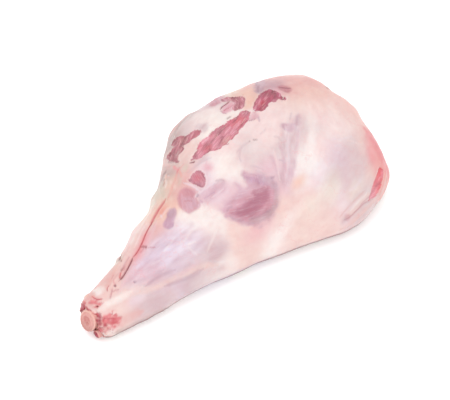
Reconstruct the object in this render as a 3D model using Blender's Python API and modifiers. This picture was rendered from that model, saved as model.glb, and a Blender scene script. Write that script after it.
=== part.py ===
import bpy
import bmesh
import math
from mathutils import Matrix, Vector

# A raw leg of lamb lying flat. +X runs from the sawn shank to the rump, +Y is the
# side with the bare muscle, +Z is up, and z = 0 is the surface it lies on.

for old in list(bpy.data.objects):
    bpy.data.objects.remove(old, do_unlink=True)

MM = 0.001

# driving dimensions, millimetres
DATUM = (1.5, 1.7)          # moves the whole leg so that its box is centred
GAP = 0.3                   # clearance between the bone, the tendon and the meat

SHANK_LEAN = 0.06           # how far the shank end draws back per mm of +Y
SHANK_RAKE = 0.12           # how far it draws back per mm of height
SHANK_BLEND = 45.0          # length over which the stations turn into the shank end
RUMP_LEAN = 0.14            # how far the rump cut runs out per mm of +Y
RUMP_RAKE = -0.16           # how far it runs out per mm of height
RUMP_BLEND = 90.0           # length over which the stations turn into the rump cut
SIDE_BULGE = 0.92           # below 1 the upper cage arcs are fuller than an ellipse
BELLY_BULGE = 0.62          # the lower arcs are squarer, where the leg sags flat

BONE_LONG = 24.5            # sawn bone, long diameter
BONE_WIDE = 21.0            # sawn bone, short diameter
BONE_TIP = (-203.0, -7.5, 20.0)
BONE_KNEE = (-34.0, -4.0, 34.0)
BONE_SAW = (-197.5, -7.5, 20.5)
BONE_SAW_LEAN = 15.0        # degrees the sawn face looks up
BONE_ROLL = 70.0            # degrees the long diameter is rolled from upright
BONE_SIDES = 28

TENDON_WIDE = 9.4
TENDON_TIP = (-198.5, -17.5, 8.0)
TENDON_ROOT = (-182.0, -21.5, 9.5)
TENDON_SIDES = 14

# profile curves of the meat as (x, value), millimetres
NEAR_SIDE = [(-194, -30), (-172, -37), (-150, -41), (-100, -51), (-70, -59),
             (-40, -68), (0, -80), (50, -101), (80, -113), (105, -118),
             (130, -116), (155, -113), (175, -104), (190, -87)]
FAR_SIDE = [(-194, 15), (-172, 17), (-150, 20), (-100, 38), (-58, 52), (-36, 62),
            (-18, 72), (0, 90), (30, 111), (60, 114), (100, 107), (150, 90),
            (190, 64)]
CREST_HEIGHT = [(-194, 34), (-150, 41), (-100, 52), (-50, 64), (0, 77),
                (50, 87), (100, 92), (150, 94), (190, 89)]
CREST_OFFSET = [(-194, -6), (-150, -8), (-100, -8), (-50, -2), (0, 10),
                (50, 16), (100, 10), (150, 4), (190, 0)]
NEAR_HEIGHT = [(-194, 12), (-150, 14), (-100, 15), (-50, 15), (0, 15),
               (50, 15), (100, 16), (150, 20), (190, 28)]
FAR_HEIGHT = [(-194, 18), (-150, 20), (-100, 23), (-50, 27), (0, 35),
              (50, 44), (100, 48), (150, 50), (190, 48)]
BELLY_DEPTH = [(-194, 1), (-150, -1), (-100, -2), (-50, -3), (0, -3),
               (50, -3), (100, -3), (150, -2), (190, 5)]

STATIONS = [-195, -182, -156, -130, -100, -72, -46, -22, 0, 24, 50, 78, 106, 134,
            160, 178, 190]


def smooth_value(table, x):
    """Value of a profile curve at x, eased through its points."""
    last = len(table) - 1
    x = max(table[0][0], min(table[last][0], x))
    i = max(k for k in range(last) if table[k][0] <= x)

    def slope(k):
        a, b = table[max(k - 1, 0)], table[min(k + 1, last)]
        return (b[1] - a[1]) / (b[0] - a[0])

    (x0, y0), (x1, y1) = table[i], table[i + 1]
    h = x1 - x0
    t = (x - x0) / h
    return ((2 * t**3 - 3 * t**2 + 1) * y0 + (t**3 - 2 * t**2 + t) * h * slope(i)
            + (3 * t**2 - 2 * t**3) * y1 + (t**3 - t**2) * h * slope(i + 1))


def end_shift(x, y, z):
    """How far a cage point near either end moves along X, to slant the cut."""
    shank = max(0.0, 1.0 - (x - STATIONS[0]) / SHANK_BLEND) ** 2
    rump = max(0.0, 1.0 - (STATIONS[-1] - x) / RUMP_BLEND) ** 2
    return (shank * (SHANK_LEAN * (y + 12.0) + SHANK_RAKE * (z - 16.0))
            + rump * (RUMP_LEAN * (y + 20.0) + RUMP_RAKE * (z - 40.0)))


def quarter(side, top, bulge):
    """Three cage points (y, z) between a side point and a top or bottom point."""
    points = []
    for k in (1, 2, 3):
        a = math.radians(22.5 * k)
        y = top[0] + (side[0] - top[0]) * math.cos(a) ** bulge
        z = side[1] + (top[1] - side[1]) * math.sin(a) ** bulge
        points.append((y, z))
    return points


def ring(x):
    """Sixteen cage points around the leg at station x."""
    near = (smooth_value(NEAR_SIDE, x), smooth_value(NEAR_HEIGHT, x))
    far = (smooth_value(FAR_SIDE, x), smooth_value(FAR_HEIGHT, x))
    crest = (smooth_value(CREST_OFFSET, x), smooth_value(CREST_HEIGHT, x))
    belly = ((near[0] + far[0]) / 2, smooth_value(BELLY_DEPTH, x))
    outline = [near] + quarter(near, crest, SIDE_BULGE)
    outline += [crest] + quarter(far, crest, SIDE_BULGE)[::-1]
    outline += [far] + quarter(far, belly, BELLY_BULGE)
    outline += [belly] + quarter(near, belly, BELLY_BULGE)[::-1]
    return [place((x + end_shift(x, y, z), y, z)) for y, z in outline]


def place(point):
    """A point in millimetres, moved to the datum, in metres."""
    x, y, z = point
    return Vector(((x + DATUM[0]) * MM, (y + DATUM[1]) * MM, z * MM))


parts = bpy.data.collections.new("leg_of_lamb")
cutters = bpy.data.collections.new("cutters")
bpy.context.scene.collection.children.link(parts)
bpy.context.scene.collection.children.link(cutters)


def new_material(name, color, roughness):
    mat = bpy.data.materials.new(name)
    mat.use_nodes = True
    shader = mat.node_tree.nodes["Principled BSDF"]
    shader.inputs["Base Color"].default_value = (*color, 1.0)
    shader.inputs["Roughness"].default_value = roughness
    mat.diffuse_color = (*color, 1.0)
    return mat


def new_object(name, mesh, mat=None):
    """An object with a material is a part; one without is a cutter."""
    obj = bpy.data.objects.new(name, mesh)
    if mat is None:
        cutters.objects.link(obj)
        obj.hide_render = True
        obj.display_type = "WIRE"
    else:
        parts.objects.link(obj)
        mesh.materials.append(mat)
    return obj


def cut_away(target, cutter):
    mod = target.modifiers.new("cut_" + cutter.name, "BOOLEAN")
    mod.operation = "DIFFERENCE"
    mod.solver = "EXACT"
    mod.object = cutter


def turned_rod(name, profile, sides, tip, root, flatten=1.0, turn=0.0, mat=None):
    """A rod turned about the line from tip to root.

    profile is (distance from tip, radius) in millimetres, and flatten narrows
    the rod across, after it is rolled by turn degrees.
    """
    bm = bmesh.new()
    last = None
    for along, radius in profile:
        vert = bm.verts.new((radius * MM, 0.0, -along * MM))
        if last is not None:
            bm.edges.new((last, vert))
        last = vert
    mesh = bpy.data.meshes.new(name)
    bm.to_mesh(mesh)
    bm.free()
    obj = new_object(name, mesh, mat)
    screw = obj.modifiers.new("turn", "SCREW")
    screw.angle = math.tau
    screw.steps = screw.render_steps = sides
    screw.use_merge_vertices = True
    screw.merge_threshold = 0.00001
    start, end = place(tip), place(root)
    aim = (start - end).to_track_quat("Z", "Y").to_matrix().to_4x4()
    roll = Matrix.Rotation(math.radians(turn), 4, "Z")
    squash = Matrix.Diagonal((1.0, flatten, 1.0, 1.0))
    obj.matrix_world = Matrix.Translation(start) @ aim @ roll @ squash
    return obj


def slab(name, centre, size, lean=0.0):
    """A box cutter, leaned about Y by some degrees."""
    mesh = bpy.data.meshes.new(name)
    bm = bmesh.new()
    bmesh.ops.create_cube(bm, size=1.0)
    bmesh.ops.scale(bm, verts=bm.verts, vec=[s * MM for s in size])
    bm.to_mesh(mesh)
    bm.free()
    obj = new_object(name, mesh)
    obj.matrix_world = (Matrix.Translation(place(centre))
                        @ Matrix.Rotation(math.radians(lean), 4, "Y"))
    return obj


def meat(mat):
    """The muscle, fat and fell: a loft of rings, smoothed, cut flat below."""
    bm = bmesh.new()
    rings = [[bm.verts.new(p) for p in ring(x)] for x in STATIONS]
    count = len(rings[0])
    for a, b in zip(rings, rings[1:]):
        for i in range(count):
            j = (i + 1) % count
            bm.faces.new((a[i], a[j], b[j], b[i]))
    bm.faces.new(rings[0][::-1])
    bm.faces.new(rings[-1])
    bmesh.ops.recalc_face_normals(bm, faces=bm.faces)
    mesh = bpy.data.meshes.new("leg_meat")
    bm.to_mesh(mesh)
    bm.free()
    mesh.shade_smooth()
    obj = new_object("leg_meat", mesh, mat)
    smooth = obj.modifiers.new("smooth", "SUBSURF")
    smooth.levels = smooth.render_levels = 2
    cut_away(obj, slab("table_cut", (0.0, 0.0, -20.0), (600.0, 400.0, 40.0)))
    return obj


def bone_profile(extra=0.0):
    """Shank bone: broad at the sawn end, slim shaft, broad again at the knee."""
    reach = (Vector(BONE_KNEE) - Vector(BONE_TIP)).length
    half = BONE_LONG / 2
    outline = [(0.0, half), (14.0, half), (34.0, half * 0.80), (64.0, half * 0.66),
               (104.0, half * 0.66), (134.0, half * 0.84), (156.0, half * 1.1),
               (reach - 4.0, half * 1.05), (reach, half * 0.8)]
    body = [(along, radius + extra) for along, radius in outline]
    return [(0.0, 0.0)] + body + [(reach + extra, half * 0.8), (reach + extra, 0.0)]


def build():
    meat_mat = new_material("meat_and_fell", (0.86, 0.62, 0.58), 0.38)
    bone_mat = new_material("bone", (0.90, 0.68, 0.60), 0.45)
    tendon_mat = new_material("tendon", (0.62, 0.20, 0.20), 0.40)

    leg = meat(meat_mat)

    flat = BONE_WIDE / BONE_LONG
    bone = turned_rod("shank_bone", bone_profile(), BONE_SIDES, BONE_TIP, BONE_KNEE,
                      flat, BONE_ROLL, bone_mat)
    socket = turned_rod("bone_socket", bone_profile(GAP), BONE_SIDES, BONE_TIP,
                        BONE_KNEE, flat, BONE_ROLL)
    lean = math.radians(BONE_SAW_LEAN)
    back = 20.0
    saw_centre = (BONE_SAW[0] - back * math.cos(lean), BONE_SAW[1],
                  BONE_SAW[2] + back * math.sin(lean))
    cut_away(bone, slab("saw_cut", saw_centre, (2 * back, 80.0, 80.0), BONE_SAW_LEAN))
    cut_away(leg, socket)

    half = TENDON_WIDE / 2
    length = (Vector(TENDON_TIP) - Vector(TENDON_ROOT)).length
    stub = [(0.0, 0.0), (0.5, half * 0.55), (1.6, half * 0.85), (3.4, half),
            (length, half), (length, 0.0)]
    hole = [(-1.0, 0.0), (-1.0, half + GAP), (length + GAP, half + GAP),
            (length + GAP, 0.0)]
    turned_rod("heel_tendon", stub, TENDON_SIDES, TENDON_TIP, TENDON_ROOT,
               mat=tendon_mat)
    cut_away(leg, turned_rod("tendon_hole", hole, TENDON_SIDES, TENDON_TIP,
                             TENDON_ROOT))


build()
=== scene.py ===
import math
from itertools import product

import bmesh
import bpy
import numpy as np
from mathutils import Matrix, Vector
from mathutils.bvhtree import BVHTree


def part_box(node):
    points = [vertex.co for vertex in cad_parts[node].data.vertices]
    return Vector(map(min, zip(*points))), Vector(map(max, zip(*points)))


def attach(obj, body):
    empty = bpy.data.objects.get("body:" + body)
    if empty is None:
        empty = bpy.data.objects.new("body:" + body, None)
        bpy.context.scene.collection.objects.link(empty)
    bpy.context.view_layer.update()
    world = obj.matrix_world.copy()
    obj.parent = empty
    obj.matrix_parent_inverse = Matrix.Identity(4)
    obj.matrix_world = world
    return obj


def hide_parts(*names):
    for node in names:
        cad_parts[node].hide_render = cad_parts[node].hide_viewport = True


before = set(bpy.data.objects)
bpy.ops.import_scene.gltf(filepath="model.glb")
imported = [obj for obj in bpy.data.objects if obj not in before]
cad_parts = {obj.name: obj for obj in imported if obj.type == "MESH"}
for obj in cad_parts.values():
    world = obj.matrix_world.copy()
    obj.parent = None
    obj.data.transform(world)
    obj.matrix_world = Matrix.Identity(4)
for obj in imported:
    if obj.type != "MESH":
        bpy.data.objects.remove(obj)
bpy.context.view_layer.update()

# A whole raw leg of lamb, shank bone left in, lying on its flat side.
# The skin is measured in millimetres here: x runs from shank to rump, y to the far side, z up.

light = {
    "domeStrength": 1.16,
    "lamps": {                  # watts, metres, place
        "keyLight": (31.0, 3.0, (-0.2, 0.7, 2.6)),
        "fillLight": (20.0, 2.2, (-1.5, -1.5, 1.1)),
    },
    "floorSize": 14.0,
    "floorTone": (0.93, 0.93, 0.93),
    "floorGlow": 0.07,          # keeps the sheet white near the meat
    "level": 1.60,              # light that falls on the top of the meat
    "gloss": 0.03,              # light that the wet surface adds to every colour
}

shot = {
    "azimuth": -46.7,
    "elevation": 45.0,
    "lens": 100.0,
    "distance": 1.39,
    "target": (0.0366, 0.0257, 0.0),
}


# the colours that the leg is painted with, as they look in the studio light
tones = {
    "snow": "#FEF4F1", "cream": "#FCEEE9", "ivory": "#F5E9DE", "shell": "#FBE2E0", "mist": "#F4E0E8",
    "petal": "#F5D6D0", "apricot": "#F7CBBB", "rosewater": "#F2CAC5", "ash": "#E7D0D1", "lilac": "#E3CDDE",
    "ballet": "#EBC5CE", "oat": "#DCCCBC", "salmon": "#EEBAB6", "dusk": "#DABFC5", "candy": "#EEAFBC",
    "shrimp": "#F1B0A8", "orchid": "#DDB3C1", "tan": "#DDAF98", "bonePink": "#F2A295", "blush": "#F89EA4",
    "mauve": "#C9A6B2", "taupe": "#C5AAA6", "violet": "#C99BB3", "rose": "#D694A2", "coral": "#ED7F85",
    "brick": "#D4807A", "dullRose": "#CC838E", "pink": "#DE7A8C", "fawn": "#C08982", "plumMist": "#A98796",
    "umberMist": "#A68683", "plum": "#B9788B", "scarlet": "#F4505C", "red": "#DB636D", "ruby": "#C4617A",
    "dustyRed": "#A86A72", "bloodBright": "#D44652", "wine": "#A05C68", "umber": "#8E6163", "garnet": "#B03A4E",
    "maroon": "#9E4A54", "blood": "#A43440", "rust": "#944E46", "clot": "#82222E",
}


def soften(value, low, high):
    t = np.clip((value - low) / (high - low), 0.0, 1.0)
    return t * t * (3.0 - 2.0 * t)


def toLinear(code):
    parts = [int(code[i:i + 2], 16) / 255 for i in (1, 3, 5)]
    return np.array([c / 12.92 if c <= 0.04045 else ((c + 0.055) / 1.055) ** 2.4 for c in parts])


def asPaint(tone):
    # the surface colour that looks like this tone under the studio light
    return np.clip((toLinear(tones[tone]) - light["gloss"]) / light["level"], 0.003, 0.95)


def lumps(place, size, seed, octaves=1):
    # smooth random field from -1 to 1, with lumps of this size
    total, amount, whole = 0.0, 1.0, 0.0
    for octave in range(octaves):
        spot = place / (size / 2 ** octave) + 17.3 * octave
        cell = np.floor(spot).astype(np.int64)
        part = spot - cell
        part = part * part * (3.0 - 2.0 * part)
        field = np.zeros(len(place))
        for corner in product((0, 1), repeat=3):
            c = cell + corner
            h = (c[:, 0] * 73856093) ^ (c[:, 1] * 19349663) ^ (c[:, 2] * 83492791)
            h = (h + (seed + octave) * 2654435761) & 0xffffffff
            h = ((h ^ (h >> 13)) * 1274126177) & 0xffffffff
            value = ((h ^ (h >> 16)) & 0xffff) / 32767.5 - 1.0
            share = np.where(corner, part, 1.0 - part).prod(1)
            field += share * value
        total = total + amount * field
        whole += amount
        amount *= 0.5
    return total / whole


def roundPath(corners, closed=False, steps=5):
    # smooth line through the corners
    p = np.array(corners, float)
    if closed:
        a, b, c, d = np.roll(p, 1, 0), p, np.roll(p, -1, 0), np.roll(p, -2, 0)
    else:
        q = np.vstack([2 * p[0] - p[1], p, 2 * p[-1] - p[-2]])
        a, b, c, d = q[:-3], q[1:-2], q[2:-1], q[3:]
    line = [0.5 * (2 * b + (c - a) * t + (2 * a - 5 * b + 4 * c - d) * t * t
                   + (3 * b - a - 3 * c + d) * t ** 3) for t in np.arange(steps) / steps]
    line = np.stack(line, 1).reshape(-1, p.shape[1])
    return line if closed else np.vstack([line, p[-1:]])


def insideBy(flat, corners, reach=14.0):
    # millimetres inside a rounded outline, negative outside
    loop = roundPath(corners, closed=True)
    after = np.roll(loop, -1, 0)
    span = after - loop
    depth = np.full(len(flat), -reach)
    near = np.where(((flat > loop.min(0) - reach) & (flat < loop.max(0) + reach)).all(1))[0]
    spot = flat[near]
    rel = spot[:, None] - loop
    share = np.clip((rel * span).sum(-1) / (span ** 2).sum(-1), 0.0, 1.0)
    gap = np.linalg.norm(rel - share[..., None] * span, axis=-1).min(1)
    rise = np.where(span[:, 1] == 0.0, 1e-9, span[:, 1])
    above = (loop[:, 1] > spot[:, 1:]) != (after[:, 1] > spot[:, 1:])
    left = spot[:, :1] < span[:, 0] * (spot[:, 1:] - loop[:, 1]) / rise + loop[:, 0]
    inner = (above & left).sum(1) % 2 == 1
    depth[near] = np.maximum(np.where(inner, gap, -gap), -reach)
    return depth


def alongPath(place, corners, reach=30.0):
    # distance to a smooth line, and the share of the way along it
    line = roundPath(corners)
    size = line.shape[1]
    spots = place[:, :size]
    gap, share = np.full(len(place), reach), np.zeros(len(place))
    near = np.where(((spots > line.min(0) - reach) & (spots < line.max(0) + reach)).all(1))[0]
    span = line[1:] - line[:-1]
    length = np.linalg.norm(span, axis=1)
    start = np.concatenate([[0.0], np.cumsum(length)[:-1]]) / length.sum()
    rel = spots[near][:, None] - line[:-1]
    t = np.clip((rel * span).sum(-1) / (span ** 2).sum(-1), 0.0, 1.0)
    dist = np.linalg.norm(rel - t[..., None] * span, axis=-1)
    best = dist.argmin(1)
    row = np.arange(len(near))
    gap[near] = dist[row, best]
    share[near] = start[best] + t[row, best] * length[best] / length.sum()
    return gap, share


def addObject(name, mesh):
    piece = bpy.data.objects.new(name, mesh)
    bpy.context.scene.collection.objects.link(piece)
    return piece


def applied(piece):
    # the evaluated result as a plain mesh, with the modifiers gone
    bpy.context.view_layer.update()
    result = bpy.data.meshes.new_from_object(
        piece.evaluated_get(bpy.context.evaluated_depsgraph_get()))
    piece.modifiers.clear()
    piece.data = result
    return piece


def denseCopy(nodeName, name, voxel, nubs=()):
    # a copy of a CAD node in small even faces, with the nubs (centre and half sizes in mm) grown onto it
    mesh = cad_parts[nodeName].data.copy()
    mesh.name = name
    mesh.materials.clear()
    shell = bmesh.new()
    shell.from_mesh(mesh)
    bmesh.ops.remove_doubles(shell, verts=shell.verts, dist=1e-5)
    for centre, half in nubs:
        shape = Matrix.Translation(Vector(centre) / 1000) @ Matrix.Diagonal((*[h / 1000 for h in half], 1.0))
        bmesh.ops.create_icosphere(shell, subdivisions=3, radius=1.0, matrix=shape)
    shell.to_mesh(mesh)
    shell.free()
    piece = addObject(name, mesh)
    remesh = piece.modifiers.new("evenFaces", "REMESH")
    remesh.mode = "VOXEL"
    remesh.voxel_size = voxel
    applied(piece)
    piece.data.polygons.foreach_set("use_smooth", [True] * len(piece.data.polygons))
    return piece


def getPlaces(mesh):
    flat = np.empty(len(mesh.vertices) * 3, np.float32)
    mesh.vertices.foreach_get("co", flat)
    return flat.reshape(-1, 3).astype(float) * 1000


def setPlaces(mesh, place):
    mesh.vertices.foreach_set("co", (place / 1000).astype(np.float32).ravel())
    mesh.update()


def getNormals(mesh):
    flat = np.empty(len(mesh.vertices) * 3, np.float32)
    mesh.vertex_normals.foreach_get("vector", flat)
    return flat.reshape(-1, 3).astype(float)


def getEdges(mesh):
    flat = np.empty(len(mesh.edges) * 2, np.int32)
    mesh.edges.foreach_get("vertices", flat)
    return flat.reshape(-1, 2)


def relax(value, edges, passes, share):
    # each point moves towards the mean of its neighbours
    a, b = edges[:, 0], edges[:, 1]
    count = np.bincount(a, minlength=len(value)) + np.bincount(b, minlength=len(value))
    share = np.broadcast_to(share, (len(value),))[:, None]
    for _ in range(passes):
        mean = np.stack([np.bincount(a, value[b, k], len(value)) + np.bincount(b, value[a, k], len(value))
                         for k in range(value.shape[1])], 1) / count[:, None]
        value = value + share * (mean - value)
    return value


def setFloat(mesh, name, value):
    mesh.attributes.new(name, "FLOAT", "POINT").data.foreach_set("value", value.astype(np.float32))


def setVector(mesh, name, value):
    mesh.attributes.new(name, "FLOAT_VECTOR", "POINT").data.foreach_set(
        "vector", value.astype(np.float32).ravel())


def setColour(mesh, name, value):
    full = np.hstack([value, np.ones((len(value), 1))])
    mesh.color_attributes.new(name, "FLOAT_COLOR", "POINT").data.foreach_set(
        "color", full.astype(np.float32).ravel())



def setStudio():
    world = bpy.data.worlds.new("softDome")
    world.use_nodes = True
    dome = world.node_tree.nodes["Background"]
    dome.inputs["Color"].default_value = (1.0, 1.0, 1.0, 1.0)
    dome.inputs["Strength"].default_value = light["domeStrength"]
    bpy.context.scene.world = world
    for name, (energy, size, spot) in light["lamps"].items():
        lamp = bpy.data.lights.new(name, "AREA")
        lamp.energy = energy
        lamp.size = size
        stand = addObject(name, lamp)
        stand.location = spot
        stand.rotation_euler = (-Vector(spot)).to_track_quat("-Z", "Y").to_euler()
    half = light["floorSize"] / 2
    sheet = bpy.data.meshes.new("floor")
    sheet.from_pydata([(-half, -half, 0), (half, -half, 0), (half, half, 0), (-half, half, 0)], [], [(0, 1, 2, 3)])
    floor = addObject("floor", sheet)
    paper = bpy.data.materials.new("paleFloor")
    paper.use_nodes = True
    shader = paper.node_tree.nodes["Principled BSDF"]
    shader.inputs["Base Color"].default_value = (*light["floorTone"], 1.0)
    shader.inputs["Emission Color"].default_value = (1.0, 1.0, 1.0, 1.0)
    shader.inputs["Emission Strength"].default_value = light["floorGlow"]
    shader.inputs["Roughness"].default_value = 0.9
    shader.inputs["Specular IOR Level"].default_value = 0.0
    sheet.materials.append(paper)
    cam = bpy.data.cameras.new("camera")
    cam.lens = shot["lens"]
    cam.clip_end = 50.0
    viewer = addObject("camera", cam)
    a, e = math.radians(shot["azimuth"]), math.radians(shot["elevation"])
    back = Vector((math.sin(a) * math.cos(e), -math.cos(a) * math.cos(e), math.sin(e)))
    viewer.location = Vector(shot["target"]) + back * shot["distance"]
    viewer.rotation_euler = (-back).to_track_quat("-Z", "Y").to_euler()
    bpy.context.scene.camera = viewer
    bpy.context.scene.view_settings.view_transform = "Standard"


setStudio()
print("studio ready")



meat = {
    "voxel": 0.0015,
    "smoothing": 16,            # passes that take the facets off
    "boneClear": (1.2, 4.0),    # no lumps nearer the bone than this, all of them from here
    "edgeWander": 1.35,         # how ragged the torn edges of the fell are
    "patchSink": 1.3,           # bare muscle lies this far under the fell
    "lipRise": 0.45,
    "nubsEnd": -180.0,          # the sawn end, left of here, keeps its small lumps
}

# lumps of fat and torn flesh round the sawn bone: centre, half sizes
nubs = [
    ((-184.5, 6, 30.5), (4.2, 4.6, 4.0)), ((-178, 11.5, 29), (5.0, 3.6, 3.2)), ((-188, 7, 25), (3.0, 3.0, 3.6)),
    ((-192, 9.2, 21.5), (2.2, 1.3, 1.8)), ((-189, -2, 32.4), (3.6, 5.5, 2.4)), ((-189, -9.5, 32), (3.2, 3.4, 2.2)),
    ((-190, -16.5, 27), (3.4, 3.0, 3.6)), ((-191, -18.6, 20.5), (2.8, 2.4, 3.4)), ((-191.5, -20.8, 15.6), (2.6, 2.6, 2.2)),
    ((-190, -25.5, 13.5), (2.6, 3.2, 3.6)), ((-192, -13, 8.0), (2.6, 3.2, 2.6)), ((-186, -24, 22), (3.4, 3.0, 3.6)),
    ((-187.5, -6, 31.6), (3.2, 3.4, 2.4)), ((-129, 25.5, 28.5), (5.5, 1.8, 3.6)), ((-133, 23.5, 27), (3.0, 1.6, 3.0)),
]

# underpainting: x, y, tone of the fell round that spot
toneSpots = [
    (-172, 9, "salmon"), (-166, -6, "petal"), (-146, -40, "ash"), (-176, -33, "petal"), (-122, 23, "petal"), (-118, 9, "salmon"),
    (-118, -9, "ballet"), (-95, 33, "shell"), (-94, 13, "salmon"), (-95, -12, "lilac"), (-70, 46, "ivory"),
    (-62, 33, "apricot"), (-70, -22, "mist"), (-68, -43, "dusk"), (-62, -62, "cream"), (-42, 49, "oat"),
    (-45, -18, "cream"), (-20, 62, "taupe"), (-24, 28, "salmon"), (-12, -6, "ballet"), (-2, 10, "mist"),
    (-20, -66, "petal"), (2, -82, "shell"), (0, 57, "petal"), (20, 97, "taupe"), (18, 7, "cream"),
    (40, 15, "shell"), (46, 2, "ash"), (49, -38, "ballet"), (54, 62, "cream"), (50, 91, "ash"),
    (60, 78, "shell"), (72, 1, "shell"), (75, -27, "ash"), (78, -54, "snow"), (80, -73, "mist"),
    (60, -82, "petal"), (22, -76, "petal"), (84, 97, "dusk"), (111, 90, "ivory"), (114, 70, "apricot"),
    (109, 7, "shell"), (111, -16, "ash"), (108, -50, "shell"), (112, -82, "ash"), (130, 72, "salmon"),
    (141, 56, "mauve"), (131, 10, "petal"), (141, -12, "shell"), (141, -45, "shell"), (141, -72, "ash"),
    (160, 62, "salmon"), (155, 31, "salmon"), (166, 10, "rosewater"), (166, -50, "petal"), (162, -76, "salmon"),
    (160, -92, "shrimp"), (182, 46, "petal"), (186, 24, "salmon"), (188, 0, "petal"), (183, -82, "rosewater"),
]

# soft washes: x, y, half length, half width, turn, colour, strength
washes = [
    (-47, -17, 22, 10, -50, "snow", 0.7), (-112, 5, 18, 7, 20, "blush", 0.75),
    (-97, 12, 14, 6, 30, "blush", 0.75), (-62, 23, 12, 6, 20, "bonePink", 0.85),
    (-144, 4, 26, 8, 8, "shrimp", 0.7), (-136, 12, 12, 4, 10, "apricot", 0.5),
    (-166, 4, 12, 9, 0, "petal", 0.8), (-128, 20, 10, 5, 20, "oat", 0.6),
    (12, 4, 24, 15, 25, "cream", 0.85), (38, 22, 20, 8, 20, "shell", 0.6),
    (48, 6, 22, 7, 15, "ash", 0.5), (32, -8, 7, 12, -20, "ballet", 0.3),
    (-13, -6, 18, 8, -10, "orchid", 0.75), (8, 33, 13, 6, -10, "dusk", 0.8),
    (-14, -17, 14, 6, -10, "mist", 0.6), (-2, -20, 18, 5, -5, "ballet", 0.5),
    (-6, -62, 26, 8, -10, "candy", 0.45), (30, -66, 16, 7, 0, "petal", 0.6),
    (46, -76, 18, 8, 0, "petal", 0.5), (48, -46, 14, 12, 30, "dusk", 0.55),
    (58, -60, 14, 7, 0, "apricot", 0.8), (101, -40, 42, 7, 36, "snow", 0.8),
    (122, -20, 16, 6, 40, "cream", 0.6), (110, -68, 30, 18, 50, "lilac", 0.45), (146, -73, 18, 7, 50, "petal", 0.6),
    (140, -97, 12, 6, 20, "petal", 0.5),
    (86, -82, 22, 12, 20, "oat", 0.55), (80, -88, 16, 9, 0, "ivory", 0.6),
    (104, -99, 20, 6, 0, "ivory", 0.6), (60, -82, 30, 9, 0, "ivory", 0.45),
    (10, -75, 40, 6, 0, "snow", 0.7), (148, -87, 18, 9, 55, "blush", 0.55), (130, -97, 14, 6, 25, "petal", 0.6),
    (-117, -8, 16, 6, -10, "lilac", 0.8), (-100, -13, 22, 7, -10, "lilac", 0.8),
    (-58, -24, 20, 8, -30, "snow", 0.5), (-85, -19, 34, 7, -16, "lilac", 0.5),
    (-88, -27, 20, 5, -14, "mist", 0.6), (-115, -38, 24, 5, -14, "lilac", 0.6),
    (-48, -50, 13, 7, -15, "dusk", 0.7), (-130, -40, 40, 5, -12, "dusk", 0.7),
    (-90, -46, 26, 4, -14, "dusk", 0.6), (-150, -29, 14, 5, -14, "mist", 0.7),
    (4, 20, 7, 8, 0, "candy", 0.75), (57, 78, 18, 22, 0, "cream", 0.7),
    (66, 60, 14, 10, 0, "cream", 0.7), (155, 0, 30, 40, 0, "apricot", 0.4),
    (84, 30, 12, 6, -20, "ballet", 0.5), (135, 38, 4, 12, -10, "candy", 0.7),
    (118, 66, 12, 9, 20, "apricot", 0.7), (40, 100, 30, 7, 0, "taupe", 0.6),
    (30, 78, 10, 6, 30, "ash", 0.6), (172, 30, 12, 24, 0, "salmon", 0.5),
    (-30, 42, 14, 9, 50, "apricot", 0.7), (-50, 48, 14, 6, 30, "oat", 0.6), (-8, 41, 7, 4, 30, "oat", 0.7),
    (-24, 34, 9, 3, 35, "oat", 0.55), (-100, -30, 22, 4, -14, "dusk", 0.6),
]

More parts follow.
